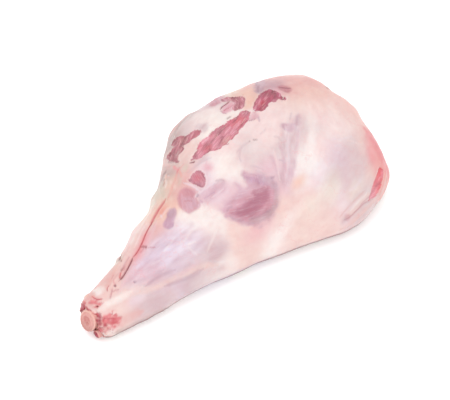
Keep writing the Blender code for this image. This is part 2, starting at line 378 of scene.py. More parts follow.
# muscle that shows through thin fell: outline, colour, strength, soft edge, wander, depth, grain turn
films = {
    "stifleWindow": ([(-25, -24), (-20, -25), (-14, -24), (-6, -24), (2, -24), (6, -20), (8, -16), (10, -24),
                      (13, -27), (16, -22), (20, -16), (24, -12), (28, -20), (33, -27), (37, -33), (41, -39),
                      (38, -46), (32, -53), (25, -59), (17, -62), (8, -62), (-2, -60), (-10, -55), (-17, -49),
                      (-22, -40), (-25, -32)], "orchid", 0.95, 3.0, 1.6, 0.5, -28),
    "stifleRose": ([(-20, -29), (-10, -30), (-2, -31), (8, -33), (16, -36), (24, -40), (34, -40), (34, -48), (28, -55),
                    (16, -58), (2, -57), (-10, -52), (-16, -45), (-20, -37)], "rose", 0.6, 4.0, 2.0, 0.2, -28),
    "stifleDark": ([(-17, -34), (-12, -34), (-6, -37), (2, -38), (10, -39), (18, -40), (27, -40), (31, -42),
                    (27, -48), (18, -52), (7, -53), (-6, -51), (-12, -46), (-16, -40)],
                   "plum", 0.75, 4.2, 2.4, 0.3, -28),
    "stifleCore": ([(-14, -38), (-4, -39), (8, -40), (18, -43), (21, -48), (12, -53), (0, -52), (-10, -48)],
                   "plum", 0.9, 4.5, 2.4, 0.2, -28),
    "stifleRight": ([(21, -16), (26, -22), (31, -29), (34, -36), (31, -40), (26, -36), (22, -28), (19, -21)],
                    "violet", 0.8, 3.0, 1.6, 0.2, 55),
    "stifleEdge": ([(32, -30), (37, -34), (41, -39), (38, -46), (33, -50), (32, -42), (30, -35)], "mauve", 0.7, 2.6,
                   1.6, 0.1, 55),
    "stifleRim": ([(-17, -48), (-10, -52), (-1, -56), (9, -58), (18, -58), (26, -54), (33, -47), (38, -42), (38, -50),
                   (28, -60), (18, -63), (8, -63), (-3, -60), (-10, -55)], "mauve", 0.7, 3.0, 1.6, 0.1, -20),
    "stifleGrey": ([(-8, -52), (0, -56), (10, -59), (18, -59), (26, -56), (33, -50), (30, -56), (20, -61), (8, -61),
                    (-2, -58)], "taupe", 0.45, 3.0, 1.6, 0.1, -20),
    "kneeMauve": ([(-50, 0), (-48, 10), (-43, 18), (-37, 24), (-31, 25), (-27, 21), (-25, 14), (-26, 8),
                   (-30, 6), (-31, 1), (-33, -4), (-40, -7), (-47, -5)], "rose", 0.8, 1.7, 1.0, 0.7, 60),
    "kneeLilac": ([(-46, 0), (-42, 8), (-38, 14), (-33, 8), (-33, 0), (-38, -5)], "orchid", 0.7, 3.0, 1.4, 0.1, 60),
    "kneeMembrane": ([(-30, 3), (-20, 3), (-8, 1), (3, -3), (2, -10), (-8, -14), (-20, -13), (-30, -9)],
                     "orchid", 0.5, 3.0, 2.2, 0.2, -8),
    "smallMauve": ([(-76, 1), (-70, -1), (-63, 4), (-55, 9), (-53, 15), (-60, 17), (-66, 13), (-74, 9)],
                   "violet", 0.85, 1.6, 1.0, 0.5, 30),
    "smallGrey": ([(-63, 8), (-56, 9), (-53, 14), (-57, 17), (-62, 14)], "mauve", 0.6, 2.0, 0.9, 0.2, 30),
    "streakBand": ([(120, -7), (106, -19), (90, -30), (72, -42), (60, -51), (45, -56), (42, -47), (56, -38),
                    (68, -28), (78, -17), (88, -8), (94, 0), (104, -2), (113, 0)], "orchid", 0.26, 4.5, 3.4, 0.3, 38),
    "bandLilac": ([(58, -46), (66, -41), (76, -33), (72, -39), (62, -49), (54, -52)], "violet", 0.35, 3.0, 2.0, 0.1, 38),
    "bandDark": ([(94, -3), (98, 0), (103, -4), (108, -9), (104, -15), (97, -15), (94, -9)], "violet", 0.42, 2.6,
                 1.8, 0.2, 38),
    "bandEnd": ([(108, -8), (116, -4), (120, -6), (116, -11), (109, -14)], "mauve", 0.4, 2.4, 1.4, 0.1, 38),
    "hipPink": ([(72, 60), (75, 67), (82, 71), (92, 72), (95, 66), (90, 60), (80, 57)], "candy", 0.85, 1.8, 1.4,
                0.3, 5),
    "hipUpper": ([(80, 82), (90, 80), (97, 82), (103, 90), (104, 102), (94, 105), (84, 104), (80, 92)], "rose",
                 0.95, 3.6, 2.6, 0.3, 48),
    "stripTail": ([(76, 34), (84, 35.5), (92, 34), (92, 28), (88, 24), (83, 26), (78, 29)], "rose", 0.55, 2.0, 2.2, 0.3,
                  20),
    "hipGrey": ([(119, 52), (128, 52), (140, 60), (150, 70), (156, 82), (148, 82), (136, 73), (124, 63)],
                "mauve", 0.85, 2.4, 1.6, 0.3, 50),
    "rumpMuted": ([(139, 29), (145, 28), (149, 35), (147, 43), (141, 45), (138, 38)], "dullRose", 0.8, 1.8, 1.4, 0.4, 70),
    "sideFaded": ([(37, 58), (46, 60), (51, 66), (46, 73), (37, 71)], "mauve", 0.45, 3.0, 2.0, 0.2, 20),
    "farStreaks": ([(10, 94), (22, 92), (34, 94), (50, 95), (72, 96), (72, 110), (50, 114), (25, 112), (10, 104)],
                   "taupe", 0.55, 4.0, 2.6, 0.2, 20),
    "rumpEdge": ([(176, 1), (179, 1), (184, 8), (188, 18), (186, 19), (181, 10)], "fawn", 0.75, 1.2, 0.8, 0.3, 60),
    "calfFilm": ([(-152, -12), (-120, -3), (-90, 3), (-60, -12), (-55, -28), (-70, -42), (-100, -34), (-130, -24)],
                 "lilac", 0.40, 6.0, 2.6, 0.0, -14),
    "calfLower": ([(-140, -32), (-110, -40), (-85, -46), (-55, -56), (-48, -50), (-62, -42), (-90, -38),
                   (-120, -30)], "dusk", 0.55, 5.0, 2.6, 0.0, -14),
}

# places where the fell is torn away: outline, colour, grain turn, colour spots (x, y, reach, colour, strength),
# and places where the fell half covers it again (x, y, reach, mm)
bares = {
    "ridgeStrip": ([(-3, 44), (8, 47.5), (16, 49), (24, 51), (36, 52), (50, 50.5), (62, 47.5), (75, 46), (88, 44.5),
                    (90, 39), (84, 34), (80, 31), (71, 29), (62, 27), (54, 24.5), (46, 23.5), (38, 23), (31, 25),
                    (25, 29), (18, 32.5), (10, 35.5), (3, 39)], "pink", 7,
                   [(2, 42, 14, "rose", 0.8), (14, 41, 10, "candy", 0.5), (34, 38, 14, "candy", 0.65),
                    (25, 40, 6, "red", 0.8), (52, 37, 12, "candy", 0.55), (68, 38, 10, "coral", 0.45),
                    (76, 40, 7, "coral", 0.5), (86, 41, 7, "rose", 0.8), (42, 29, 8, "salmon", 0.75),
                    (32, 30, 5, "candy", 0.8), (47, 26, 4, "pink", 0.6), (48, 47, 10, "rose", 0.8),
                    (2, 40, 3, "dullRose", 0.8), (30, 48, 9, "rose", 0.6), (58, 30, 7, "candy", 0.5)],
                   [(0, 45, 10, 3.0), (12, 47, 8, 1.6), (36, 52, 8, 1.6), (86, 29, 6, 1.5), (20, 32, 6, 2.2),
                    (34, 24, 5, 2.2), (43, 24, 4, 2.0), (52, 24, 4, 2.0), (62, 27, 4, 1.6)]),
    "rumpWindow": ([(94, 36), (99, 42), (106, 45.5), (112, 48), (119, 50.5), (126, 51), (132, 49), (134.5, 44),
                    (133, 34), (130, 22), (126.5, 22), (125, 28), (119, 27), (114, 30.5), (110, 28), (104, 28),
                    (99, 28.5), (96, 31)], "ruby", 16,
                   [(109, 39.5, 8, "bloodBright", 0.6), (101, 33, 6, "garnet", 0.45), (104, 41, 4, "garnet", 0.45),
                    (127, 43, 9, "maroon", 0.45), (129, 28, 6, "maroon", 0.4), (118, 49, 4, "dustyRed", 0.5),
                    (120, 37, 6, "garnet", 0.4), (120, 30, 4, "rose", 0.7), (112, 30, 3, "candy", 0.8)],
                   [(112, 28, 3, 1.5), (122, 26, 3, 1.2)]),
    "hipBand": ([(92, 88), (97, 84), (101, 78), (104.5, 69), (105, 61), (100, 54), (93, 50), (86, 50.5),
                 (81.5, 53), (84, 58), (90, 61), (94, 66), (92.5, 72), (89, 78), (88, 84)],
                "dullRose", 60,
                [(99, 66, 7, "ruby", 0.4), (90, 54, 6, "ruby", 0.35), (83, 54, 3, "maroon", 0.5),
                 (97, 58, 5, "ruby", 0.5), (93, 82, 6, "plum", 0.5), (94, 72, 4, "rose", 0.6)],
                [(90, 84, 6, 2.2), (84, 51, 4, 1.0)]),
    "sideLeft": ([(-5, 55), (-6, 64), (-4, 72), (0, 77.5), (7, 78.5), (12, 76), (13.5, 70), (12.5, 63),
                  (8, 61), (2, 61), (-2, 58)], "dullRose", 20,
                 [(-4, 66, 5, "dustyRed", 0.7), (1, 76, 5, "dustyRed", 0.6), (11.5, 71, 4.5, "maroon", 1.0),
                  (11.5, 64, 4, "maroon", 0.8), (5, 67, 6, "taupe", 0.6), (2, 61, 4, "salmon", 0.6)],
                 [(5, 60, 6, 1.6)]),
    "sideTop": ([(12, 75), (12.5, 82), (16.5, 88), (22, 86.5), (26, 80), (29, 75), (36, 72), (39.5, 67),
                 (37, 61), (33, 60), (28, 61.5), (22, 63), (17, 65), (13.5, 68)], "dullRose", 22,
                [(18, 85, 6, "dustyRed", 0.8), (31, 66, 9, "pink", 0.8), (21, 75, 7, "fawn", 0.6),
                 (15, 69, 5, "dustyRed", 0.8), (28, 73, 5, "rose", 0.5)], [(24, 62, 5, 0.8)]),
    "kneeOval": ([(-18.5, 27), (-12, 28), (-6, 28), (-3.5, 25), (-4, 19), (-7, 13), (-11, 8.5), (-16, 6), (-18.5, 8),
                  (-19.5, 14), (-19.5, 21)], "rose", 65,
                 [(-11, 21, 9, "pink", 0.9), (-17, 12, 6, "plum", 0.5), (-18, 26, 4, "plum", 0.5)], []),
    "hipEdge": ([(100, 102), (104, 104), (114, 103), (126, 100), (125, 97), (112, 99), (101, 99)], "ruby", 0,
                [], []),
}
calmPatches = {"kneeOval"}          # smooth edge, no loose threads

# the lean of the cut face at the rump end: outline seen from that end (y, z)
rumpFace = {
    "outline": [(-72, 25), (-60, 55), (-30, 70), (10, 72), (40, 62), (56, 40), (48, 18), (10, 10), (-40, 10), (-66, 14)],
    "facing": (0.90, 0.30, -0.30),
    "tone": "ruby",
    "muscles": [(-52, 40, 22, "red", 0.5), (-46, 22, 20, "plum", 0.5), (-10, 55, 26, "dustyRed", 0.4),
                (-4, 20, 22, "garnet", 0.45), (34, 54, 20, "red", 0.7), (40, 26, 20, "pink", 0.55)],
    "seams": [[(-70, 34), (-40, 40), (-8, 32), (20, 40), (52, 36)], [(-34, 68), (-24, 48), (-30, 30), (-20, 12)],
              [(14, 70), (10, 52), (22, 40)], [(-8, 32), (2, 20), (30, 14)]],
}

# lines on the skin: path (plan, or with height), half width, soft edge, colour, strength, rise in mm
marks = [
    # shank crease, its two banks and the broken lines beside it
    ([(-150, -3.5), (-142, -2.5), (-134, 0), (-126, 3.5), (-121, 6)], 0.6, 1.1, "maroon", 0.9, -1.2),
    ([(-121, 6), (-112, 8), (-104, 11), (-97, 14.5), (-88, 19), (-80, 22), (-74, 25)], 0.5, 1.1, "red", 0.8, -1.0),
    ([(-80, 22), (-72, 25.5), (-64, 28.5), (-56, 30.5), (-47, 32.5)], 1.3, 1.7, "red", 0.85, -1.2),
    ([(-169, -11), (-164, -8), (-160, -5)], 0.5, 1.0, "dullRose", 0.7, -0.6),
    ([(-156, -5), (-154.5, -3)], 0.8, 1.0, "wine", 0.9, -0.6),
    ([(-149, 2), (-144, 3.5), (-140, 3.2)], 0.5, 1.1, "dullRose", 0.7, -0.6),
    ([(-139.5, 3), (-137, 5), (-134.5, 5.3)], 0.8, 0.9, "maroon", 0.9, -0.8),
    ([(-134, 6), (-128, 8.5), (-120, 11)], 0.5, 1.1, "dullRose", 0.7, -0.5),
    ([(-162, -3), (-150, 1), (-138, 7), (-124, 12), (-112, 16), (-98, 23), (-84, 28), (-70, 33), (-56, 37)],
     1.2, 3.0, "petal", 0.6, 0.9),
    ([(-160, -13), (-146, -9), (-130, -4), (-112, 2), (-98, 8), (-84, 14), (-72, 19)], 1.4, 3.0, "ballet", 0.5, 0.8),
    ([(-110, 14), (-100, 19), (-90, 24), (-80, 27)], 0.5, 1.2, "shell", 0.7, 0.4),
    ([(-106, 9), (-104.5, 5), (-103, 2)], 0.9, 1.0, "maroon", 0.9, -0.7),
    ([(-103, 2), (-100, -3), (-98.5, -5)], 0.4, 0.9, "dullRose", 0.8, -0.3),
    ([(-113, 3), (-108, 3.5), (-104, 2)], 0.3, 0.8, "dullRose", 0.6, -0.2),
    ([(-129, 14), (-127, 20), (-122, 24), (-117, 31)], 0.9, 1.2, "rust", 0.85, -1.1),
    ([(-126, 21), (-123, 22)], 0.9, 1.0, "rust", 0.8, -0.4),
    ([(-130, 20), (-126, 26), (-121, 31)], 1.0, 1.6, "cream", 0.8, 1.4),
    ([(-140, 17), (-130, 18), (-122, 20)], 0.8, 1.6, "ivory", 0.6, 0.4),
    ([(-108, 22), (-98, 27), (-88, 31)], 0.8, 1.8, "ivory", 0.5, 0.4),
    ([(-104, 34), (-94, 38), (-80, 42)], 0.6, 1.6, "oat", 0.5, -0.3),
    # calf
    ([(-140, -17), (-136, -19), (-130, -22), (-120, -25), (-110, -28)], 0.8, 2.4, "mauve", 0.45, -0.4),
    ([(-134, -27, 39), (-123, -28, 41), (-112, -31, 42), (-101, -35, 42)], 0.9, 2.4, "mauve", 0.7, -0.5),
    ([(-170, -17), (-155, -20), (-146, -22), (-138, -25)], 1.8, 3.0, "shell", 0.85, 0.9),
    ([(-150, -25), (-140, -28), (-128, -33), (-110, -38), (-90, -43), (-80, -46), (-70, -50), (-60, -55)],
     1.0, 2.6, "petal", 0.8, 0.9),
    ([(-120, -37), (-104, -42), (-90, -46), (-76, -49)], 0.5, 1.4, "mauve", 0.6, -0.5),
    ([(-100, -40), (-88, -42), (-74, -44)], 0.5, 1.4, "ballet", 0.6, 0.2),
    ([(-41, -37, 57), (-49, -39, 53), (-57, -42, 50), (-64, -44, 46)], 0.4, 1.8, "snow", 0.5, 0.3),
    ([(-77, -24, 53), (-76, -31, 51), (-74, -40, 46)], 0.3, 1.0, "snow", 0.45, 0.2),
    ([(-76, -27, 52), (-69, -29, 53), (-66, -31, 53)], 0.4, 1.1, "snow", 0.8, 0.3),
    ([(-84, -20), (-74, -22), (-62, -20), (-50, -22)], 0.5, 1.6, "snow", 0.5, 0.2),
    ([(-98, -16), (-88, -14), (-76, -12)], 0.4, 1.4, "snow", 0.45, 0.2),
    ([(-116, -16), (-106, -19), (-94, -21)], 0.4, 1.2, "mist", 0.6, 0.2),
    ([(-90, -12), (-80, -12), (-70, -14)], 0.5, 1.4, "lilac", 0.5, -0.3),
    ([(-140, -16), (-138, -17)], 0.6, 0.9, "plumMist", 0.5, -0.2),
    # knee
    ([(-24, 28), (-22.5, 20), (-22, 12), (-23, 5)], 0.8, 1.2, "mist", 0.85, 0.7),
    ([(-33, 6), (-26, 5), (-17, 3), (-8, 1), (0, -1)], 0.5, 1.2, "mist", 0.75, 0.5),
    ([(-30, 4), (-26, 4.6)], 0.5, 0.8, "plumMist", 0.8, -0.3), ([(-30, -1), (-30.5, -6)], 0.5, 1.0, "violet", 0.7, -0.3),
    ([(-27, -4), (-20, -5), (-12, -8)], 0.4, 1.0, "violet", 0.6, -0.3),
    ([(-22, -9), (-12, -11), (-3, -12)], 0.5, 1.2, "mist", 0.6, 0.3),
    ([(-4, 1), (1, -2), (2, -6)], 0.5, 1.1, "mauve", 0.7, -0.3),
    ([(-41, 12), (-38, 9), (-36, 5)], 0.4, 0.9, "dullRose", 0.7, -0.3),
    ([(-48, 3), (-42, 13), (-36, 20)], 0.5, 1.4, "orchid", 0.5, 0.2),
    # painted highlight: the pale shell and mist strokes here are glints on the wet fell
    ([(-70, 19), (-64, 18.5), (-58, 20), (-54, 18)], 0.5, 1.3, "shell", 0.6, 0.4),
    ([(-68, 16), (-66, 21)], 0.5, 0.9, "mist", 0.7, 0.2),
    ([(0, 37), (3, 40), (1, 43)], 0.5, 0.9, "dustyRed", 0.7, -0.4),
    ([(-12, 34), (-2, 33), (8, 30), (16, 26)], 0.6, 1.6, "dusk", 0.6, -0.4),
    ([(-6, 12), (0, 17), (6, 24), (12, 29)], 0.5, 1.4, "ballet", 0.6, 0.2),
    # the stifle window's threads and edges
    ([(-21, -31), (-16, -30), (-12, -32)], 0.5, 1.4, "plumMist", 0.4, -0.3),
    ([(-22, -36), (-20, -42), (-14, -48)], 0.5, 1.8, "plumMist", 0.35, -0.2),
    ([(-18, -34), (-8, -40), (4, -45), (14, -51)], 0.35, 1.1, "orchid", 0.3, 0.2),
    ([(-12, -33), (0, -37), (10, -42)], 0.3, 1.0, "orchid", 0.3, 0.2),
    ([(-10, -46), (0, -50), (12, -56)], 0.4, 1.2, "mauve", 0.35, 0.2),
    ([(12, -36), (20, -40), (27, -44)], 2.0, 4.0, "plum", 0.6, 0.0),
        ([(-8, -51), (4, -56), (16, -59)], 0.5, 1.8, "plumMist", 0.35, 0.0),
    ([(33, -20), (36, -27), (39, -34)], 0.5, 1.6, "dusk", 0.6, -0.3),
    ([(38, -38), (41, -39.5), (43, -39)], 0.5, 1.2, "plumMist", 0.5, -0.3),
    ([(34, -14), (38, -20), (40, -28)], 0.4, 1.2, "dusk", 0.6, -0.3),
    ([(20, -14), (26, -22), (30, -30)], 0.4, 1.1, "ballet", 0.6, 0.2),
    # the streaked band that fans out to the rump
    ([(46, -52), (58, -44), (70, -34), (82, -24), (94, -14)], 0.5, 2.0, "mist", 0.5, 0.3),
    ([(44, -46), (52, -36), (60, -26), (66, -16)], 0.4, 1.4, "shell", 0.6, 0.3),
    ([(50, -56), (64, -48), (78, -38), (92, -28), (106, -18)], 0.5, 2.0, "orchid", 0.4, -0.3),
    ([(54, -46), (62, -36), (70, -26), (76, -16)], 0.6, 2.4, "orchid", 0.45, -0.2),
    ([(48, -40), (54, -30), (58, -20)], 0.6, 2.2, "orchid", 0.4, -0.2),
    ([(78, -6), (81, -10), (80, -16)], 0.5, 1.6, "dusk", 0.6, -0.3),
    ([(60, -30), (63, -34)], 0.5, 1.0, "mauve", 0.6, -0.2),
    ([(94, -8), (98, -2), (100, -6)], 0.6, 1.5, "mauve", 0.6, -0.3),
    ([(106, -14), (112, -10), (118, -5)], 0.6, 1.8, "mauve", 0.5, -0.3),
    ([(108, -3), (113, 0), (118, 3)], 0.5, 1.4, "dusk", 0.6, -0.2),
    ([(36, 8), (46, 9), (56, 8)], 0.6, 1.5, "dusk", 0.6, -0.3),
    ([(55, 8), (58, 7.5)], 0.6, 0.9, "umberMist", 0.8, -0.3), ([(60, 8), (62, 5), (64, 4)], 0.6, 0.9, "umberMist", 0.8, -0.3),
    ([(30, -4), (36, 4), (44, 8)], 0.5, 1.5, "dusk", 0.6, -0.3),
    ([(70, 8), (76, 6), (82, 8)], 0.4, 1.2, "dusk", 0.5, -0.2),
    # hip
    ([(73, 63), (79, 64), (86, 62.5), (92, 63.5)], 0.5, 0.9, "ruby", 0.8, -0.5),
    ([(75, 69), (81, 71.5), (88, 71.5), (93, 72)], 0.6, 1.0, "wine", 0.8, -0.5),
    ([(76, 66.5), (84, 68), (91, 68)], 0.6, 1.1, "ballet", 0.8, 0.3),
    ([(75, 58.5), (81, 59), (88, 60.5)], 0.6, 1.1, "ballet", 0.7, 0.3),
    ([(74, 57), (72, 62), (74, 68)], 0.5, 1.0, "plum", 0.7, -0.3),
    ([(84, 84), (90, 91), (95, 99)], 0.5, 1.2, "plum", 0.6, -0.3),
    ([(88, 80), (94, 88), (99, 96)], 0.5, 1.2, "orchid", 0.6, 0.2),
    ([(66, 50.5), (69, 51), (73, 50.5)], 0.8, 1.0, "umberMist", 0.75, -0.4),
    ([(84, 19), (88, 24), (90, 26)], 0.6, 1.2, "mauve", 0.7, -0.3),
    ([(121, 54), (126, 60), (134, 66)], 0.6, 1.3, "plumMist", 0.6, -0.3),
    ([(133, 68), (142, 76), (150, 84)], 0.6, 1.4, "plumMist", 0.5, -0.3),
    ([(140, 62), (148, 70), (154, 78)], 0.5, 1.4, "orchid", 0.5, 0.2),
    ([(141, 43), (145, 36), (148, 30)], 0.5, 1.1, "wine", 0.6, -0.3),
    ([(106, 80), (112, 84), (122, 82)], 0.6, 1.6, "tan", 0.4, -0.2),
    # strip and windows: dark threads and bright tears
    ([(71, 32.5), (75, 31.8), (80, 32.5)], 0.5, 0.8, "maroon", 0.9, -0.5),
    ([(-2, 42), (1, 39), (3, 38)], 0.5, 0.8, "wine", 0.8, -0.4),
    ([(78, 30), (82, 27), (86, 27)], 0.4, 0.8, "dustyRed", 0.7, -0.3),
    ([(-24, 50), (-22, 54), (-23, 59)], 0.8, 1.3, "rosewater", 0.7, 0.6),
    ([(-14, 46), (-12, 52), (-10, 58)], 1.0, 1.5, "blush", 0.7, -0.3),
    ([(-19, 36), (-15, 42), (-12, 48)], 0.8, 1.4, "shrimp", 0.7, 0.3),
    ([(-34, 30), (-30, 38), (-26, 47)], 0.6, 1.5, "petal", 0.6, 0.4),
    ([(-46, 36), (-40, 44), (-34, 52)], 0.5, 1.6, "oat", 0.6, -0.4),
    ([(-56, 40), (-48, 50), (-40, 58)], 0.5, 1.6, "oat", 0.5, -0.4),
    ([(-60, 38), (-52, 46), (-46, 54)], 0.6, 1.6, "ivory", 0.5, 0.4),
    ([(0, 84), (8, 92), (18, 99)], 0.7, 1.8, "taupe", 0.5, -0.4),
    ([(26, 92), (40, 97), (56, 99)], 0.6, 1.8, "taupe", 0.5, -0.4),
    ([(28, 98), (44, 103), (60, 105)], 0.6, 1.6, "salmon", 0.5, 0.2),
    ([(-8, 60), (-9, 68), (-6, 76), (0, 83)], 0.8, 1.6, "rosewater", 0.7, 0.5),
    ([(132, -62), (138, -66), (141, -72)], 0.4, 1.1, "shell", 0.6, 0.2),
    ([(143, -64), (147, -68), (147, -74)], 0.4, 1.1, "petal", 0.6, 0.2),
    ([(118, -50), (130, -58), (142, -62)], 0.4, 1.4, "mist", 0.5, 0.2),
    ([(96, -96), (108, -98), (120, -96)], 0.5, 1.4, "mist", 0.5, 0.2),
    # the blush of the rump's side, the flap's folds and its fat edge, with their heights
    ([(166, -62, 76), (166, -70, 72), (165, -80, 66), (164, -88, 60), (162, -94, 53), (162, -99, 44), (158, -104, 35)],
     4.0, 10.0, "blush", 0.85, 0.0),
    ([(164, -80, 66), (161, -89, 60), (158, -95, 54)], 2.0, 7.0, "coral", 0.45, 0.0),
    ([(169, -84, 59), (167, -90, 53), (165, -96, 45), (163, -101, 37), (160, -105, 28)], 0.8, 3.6, "coral", 0.6, 0.0),
    ([(124, -108, 39), (108, -107, 38), (94, -107, 33), (82, -106, 30)], 3.0, 4.5, "petal", 0.8, 0.3),
    ([(127, -110, 32), (121, -110, 32), (110, -109, 34), (100, -109, 32), (87, -108, 28), (81, -106, 28)],
     0.4, 1.5, "dullRose", 0.6, -1.0),
    ([(122, -108, 37), (112, -108, 36.5), (104, -108, 35)], 0.5, 1.4, "rose", 0.6, -0.5),
    ([(117, -104, 46), (100, -104, 43), (86, -104, 38), (77, -103, 33)], 0.3, 1.6, "salmon", 0.6, -0.5),
    ([(119, -106, 43), (102, -106, 40), (90, -106, 35)], 0.6, 1.8, "snow", 0.5, 0.5),
    ([(156, -104, 35), (145, -109, 29), (133, -111, 27), (119, -112, 27), (102, -111, 25), (86, -109, 20),
      (76, -106, 18)], 2.2, 3.2, "rosewater", 0.75, 1.0),
    ([(160, -101, 42), (150, -106, 35), (138, -110, 28)], 0.6, 1.6, "shell", 0.7, 0.6),
    # the far flank's upper edge: a broad salmon band of its own colour, and a thin fawn line that is painted shade
    # along the far silhouette, partly a real darker fascia edge
    ([(4, 91, 42), (9, 94, 45), (17, 99, 47), (25, 103, 49), (31, 103, 55), (39, 104, 58), (50, 105, 61),
      (62, 104, 63), (75, 103, 64), (87, 98, 69)], 2.0, 5.0, "salmon", 0.6, 0.0),
    ([(4, 91, 42), (9, 94, 45), (17, 99, 47), (25, 103, 49), (31, 103, 55), (39, 104, 58), (50, 105, 61),
      (62, 104, 63), (75, 103, 64), (87, 98, 69)], 0.6, 2.0, "fawn", 0.6, -0.3),
    # peach and rosy streaks down the far side of the knee
    ([(-5, 47, 70), (-10, 47, 67), (-16, 46, 66), (-27, 40, 63), (-38, 34, 61), (-48, 29, 59)],
     0.8, 2.4, "shrimp", 0.75, -0.4),
    ([(-8, 49, 67), (-12, 48, 66), (-18, 46, 65)], 0.5, 1.1, "pink", 0.5, -0.3),
    ([(-4, 53, 68), (-8, 52, 66), (-12, 53, 63)], 0.5, 1.0, "apricot", 0.7, 0.4),
    ([(-6, 70, 58), (-6, 61, 64), (-4, 53, 68)], 0.5, 1.0, "umber", 0.75, -0.5),
    ([(-2, 42, 72), (1, 39, 74), (4, 37, 75)], 0.5, 0.9, "dustyRed", 0.7, -0.4),
    # the broad umberMist smear at the far silhouette by the notch is painted shade
    ([(-15, 64, 56), (-20, 64, 51), (-26, 61, 49)], 1.6, 2.6, "umberMist", 0.7, -0.6),
    ([(-30, 52), (-24, 55), (-19, 60)], 0.7, 1.2, "apricot", 0.8, 0.6),
    ([(-34, 50), (-28, 53), (-24, 58)], 0.4, 1.0, "fawn", 0.6, -0.4),
    ([(-36, 44), (-30, 48), (-26, 53)], 0.5, 1.2, "cream", 0.6, 0.5),
    # short broken strokes beside the shank's crease
    ([(-140, 3, 41), (-143, 1, 41), (-147, -2, 41)], 0.5, 1.1, "red", 0.55, -0.4),
    ([(-133, 7, 42), (-134, 4, 43), (-137, 2, 42)], 0.5, 1.1, "dullRose", 0.6, -0.4),
    ([(-150, 3, 39), (-153, 0, 39), (-155, -4, 39)], 0.4, 1.0, "pink", 0.5, -0.3),
    ([(-163, -7, 38), (-160, -8, 38), (-156, -10, 39)], 0.5, 1.1, "dullRose", 0.6, -0.4),
    ([(-158, 1, 38), (-162, 0, 37), (-165, -3, 37)], 0.4, 1.0, "red", 0.45, -0.3),
    ([(-146, 8, 39), (-149, 6, 38), (-152, 5, 38)], 0.4, 1.0, "dullRose", 0.5, -0.3),
    # shank end
    ([(-186, 3, 32), (-183, -2, 35), (-180, -8, 35), (-176, -10, 35)], 0.8, 2.0, "red", 0.9, -0.4),
    ([(-178, 6, 33), (-178, -1, 35), (-174, -6, 36)], 0.6, 1.6, "red", 0.7, -0.3),
    ([(-187, -4, 32.5), (-184, -8, 34), (-180, -10, 35)], 0.6, 1.2, "bloodBright", 0.7, -0.3),
    ([(-186, -12, 32), (-181, -13, 34), (-174, -14, 35), (-165, -17, 36), (-157, -19, 37), (-149, -21, 38)],
     2.6, 3.4, "cream", 0.95, 0.8),
    ([(-187.5, -12, 32), (-188, -14, 31), (-189, -16, 27), (-191, -17, 24), (-192, -18, 21)], 1.6, 1.7, "garnet", 0.95, -0.6),
    ([(-188, -14.5, 30), (-189.5, -16.5, 26), (-191, -17.3, 23)], 0.8, 1.1, "blood", 0.85, -0.4),
    ([(-189, -17, 27), (-187, -19, 29), (-185, -21, 29.5)], 0.5, 1.3, "garnet", 0.8, -0.3),
    ([(-187, -19, 29), (-184, -21, 30), (-180, -25, 28), (-175, -28, 27)], 1.0, 2.6, "coral", 0.8, 0.2),
    ([(-186, -21, 28), (-181, -25, 28), (-177, -28, 26)], 0.4, 1.0, "red", 0.7, -0.2),
    ([(-180, -31, 19), (-171, -32, 22), (-162, -34, 22), (-150, -37, 22)], 3.0, 6.0, "salmon", 0.75, 0.0),
    ([(-187, -29, 13), (-178, -32, 11), (-162, -36, 10), (-140, -40, 10), (-120, -43, 10)], 1.0, 4.5, "taupe", 0.55, 0.0),
    ([(-184, -27, 24), (-179, -30, 22), (-174, -31, 22)], 0.5, 1.6, "blush", 0.7, 0.0),
    ([(-188, -22, 25), (-184, -26, 25), (-180, -29, 24), (-176, -30, 24)], 1.4, 2.0, "bloodBright", 0.85, 0.3),
    ([(-188, -25, 21), (-184, -29, 20), (-180, -31, 18)], 0.8, 1.8, "coral", 0.7, 0.2),
    ([(-183, -21, 31), (-180, -22, 31), (-177, -24, 30)], 0.3, 0.8, "blood", 0.7, -0.2),
    ([(-182, -26, 27), (-177, -28, 26), (-171, -30, 25)], 1.0, 2.2, "red", 0.75, 0.2),
]

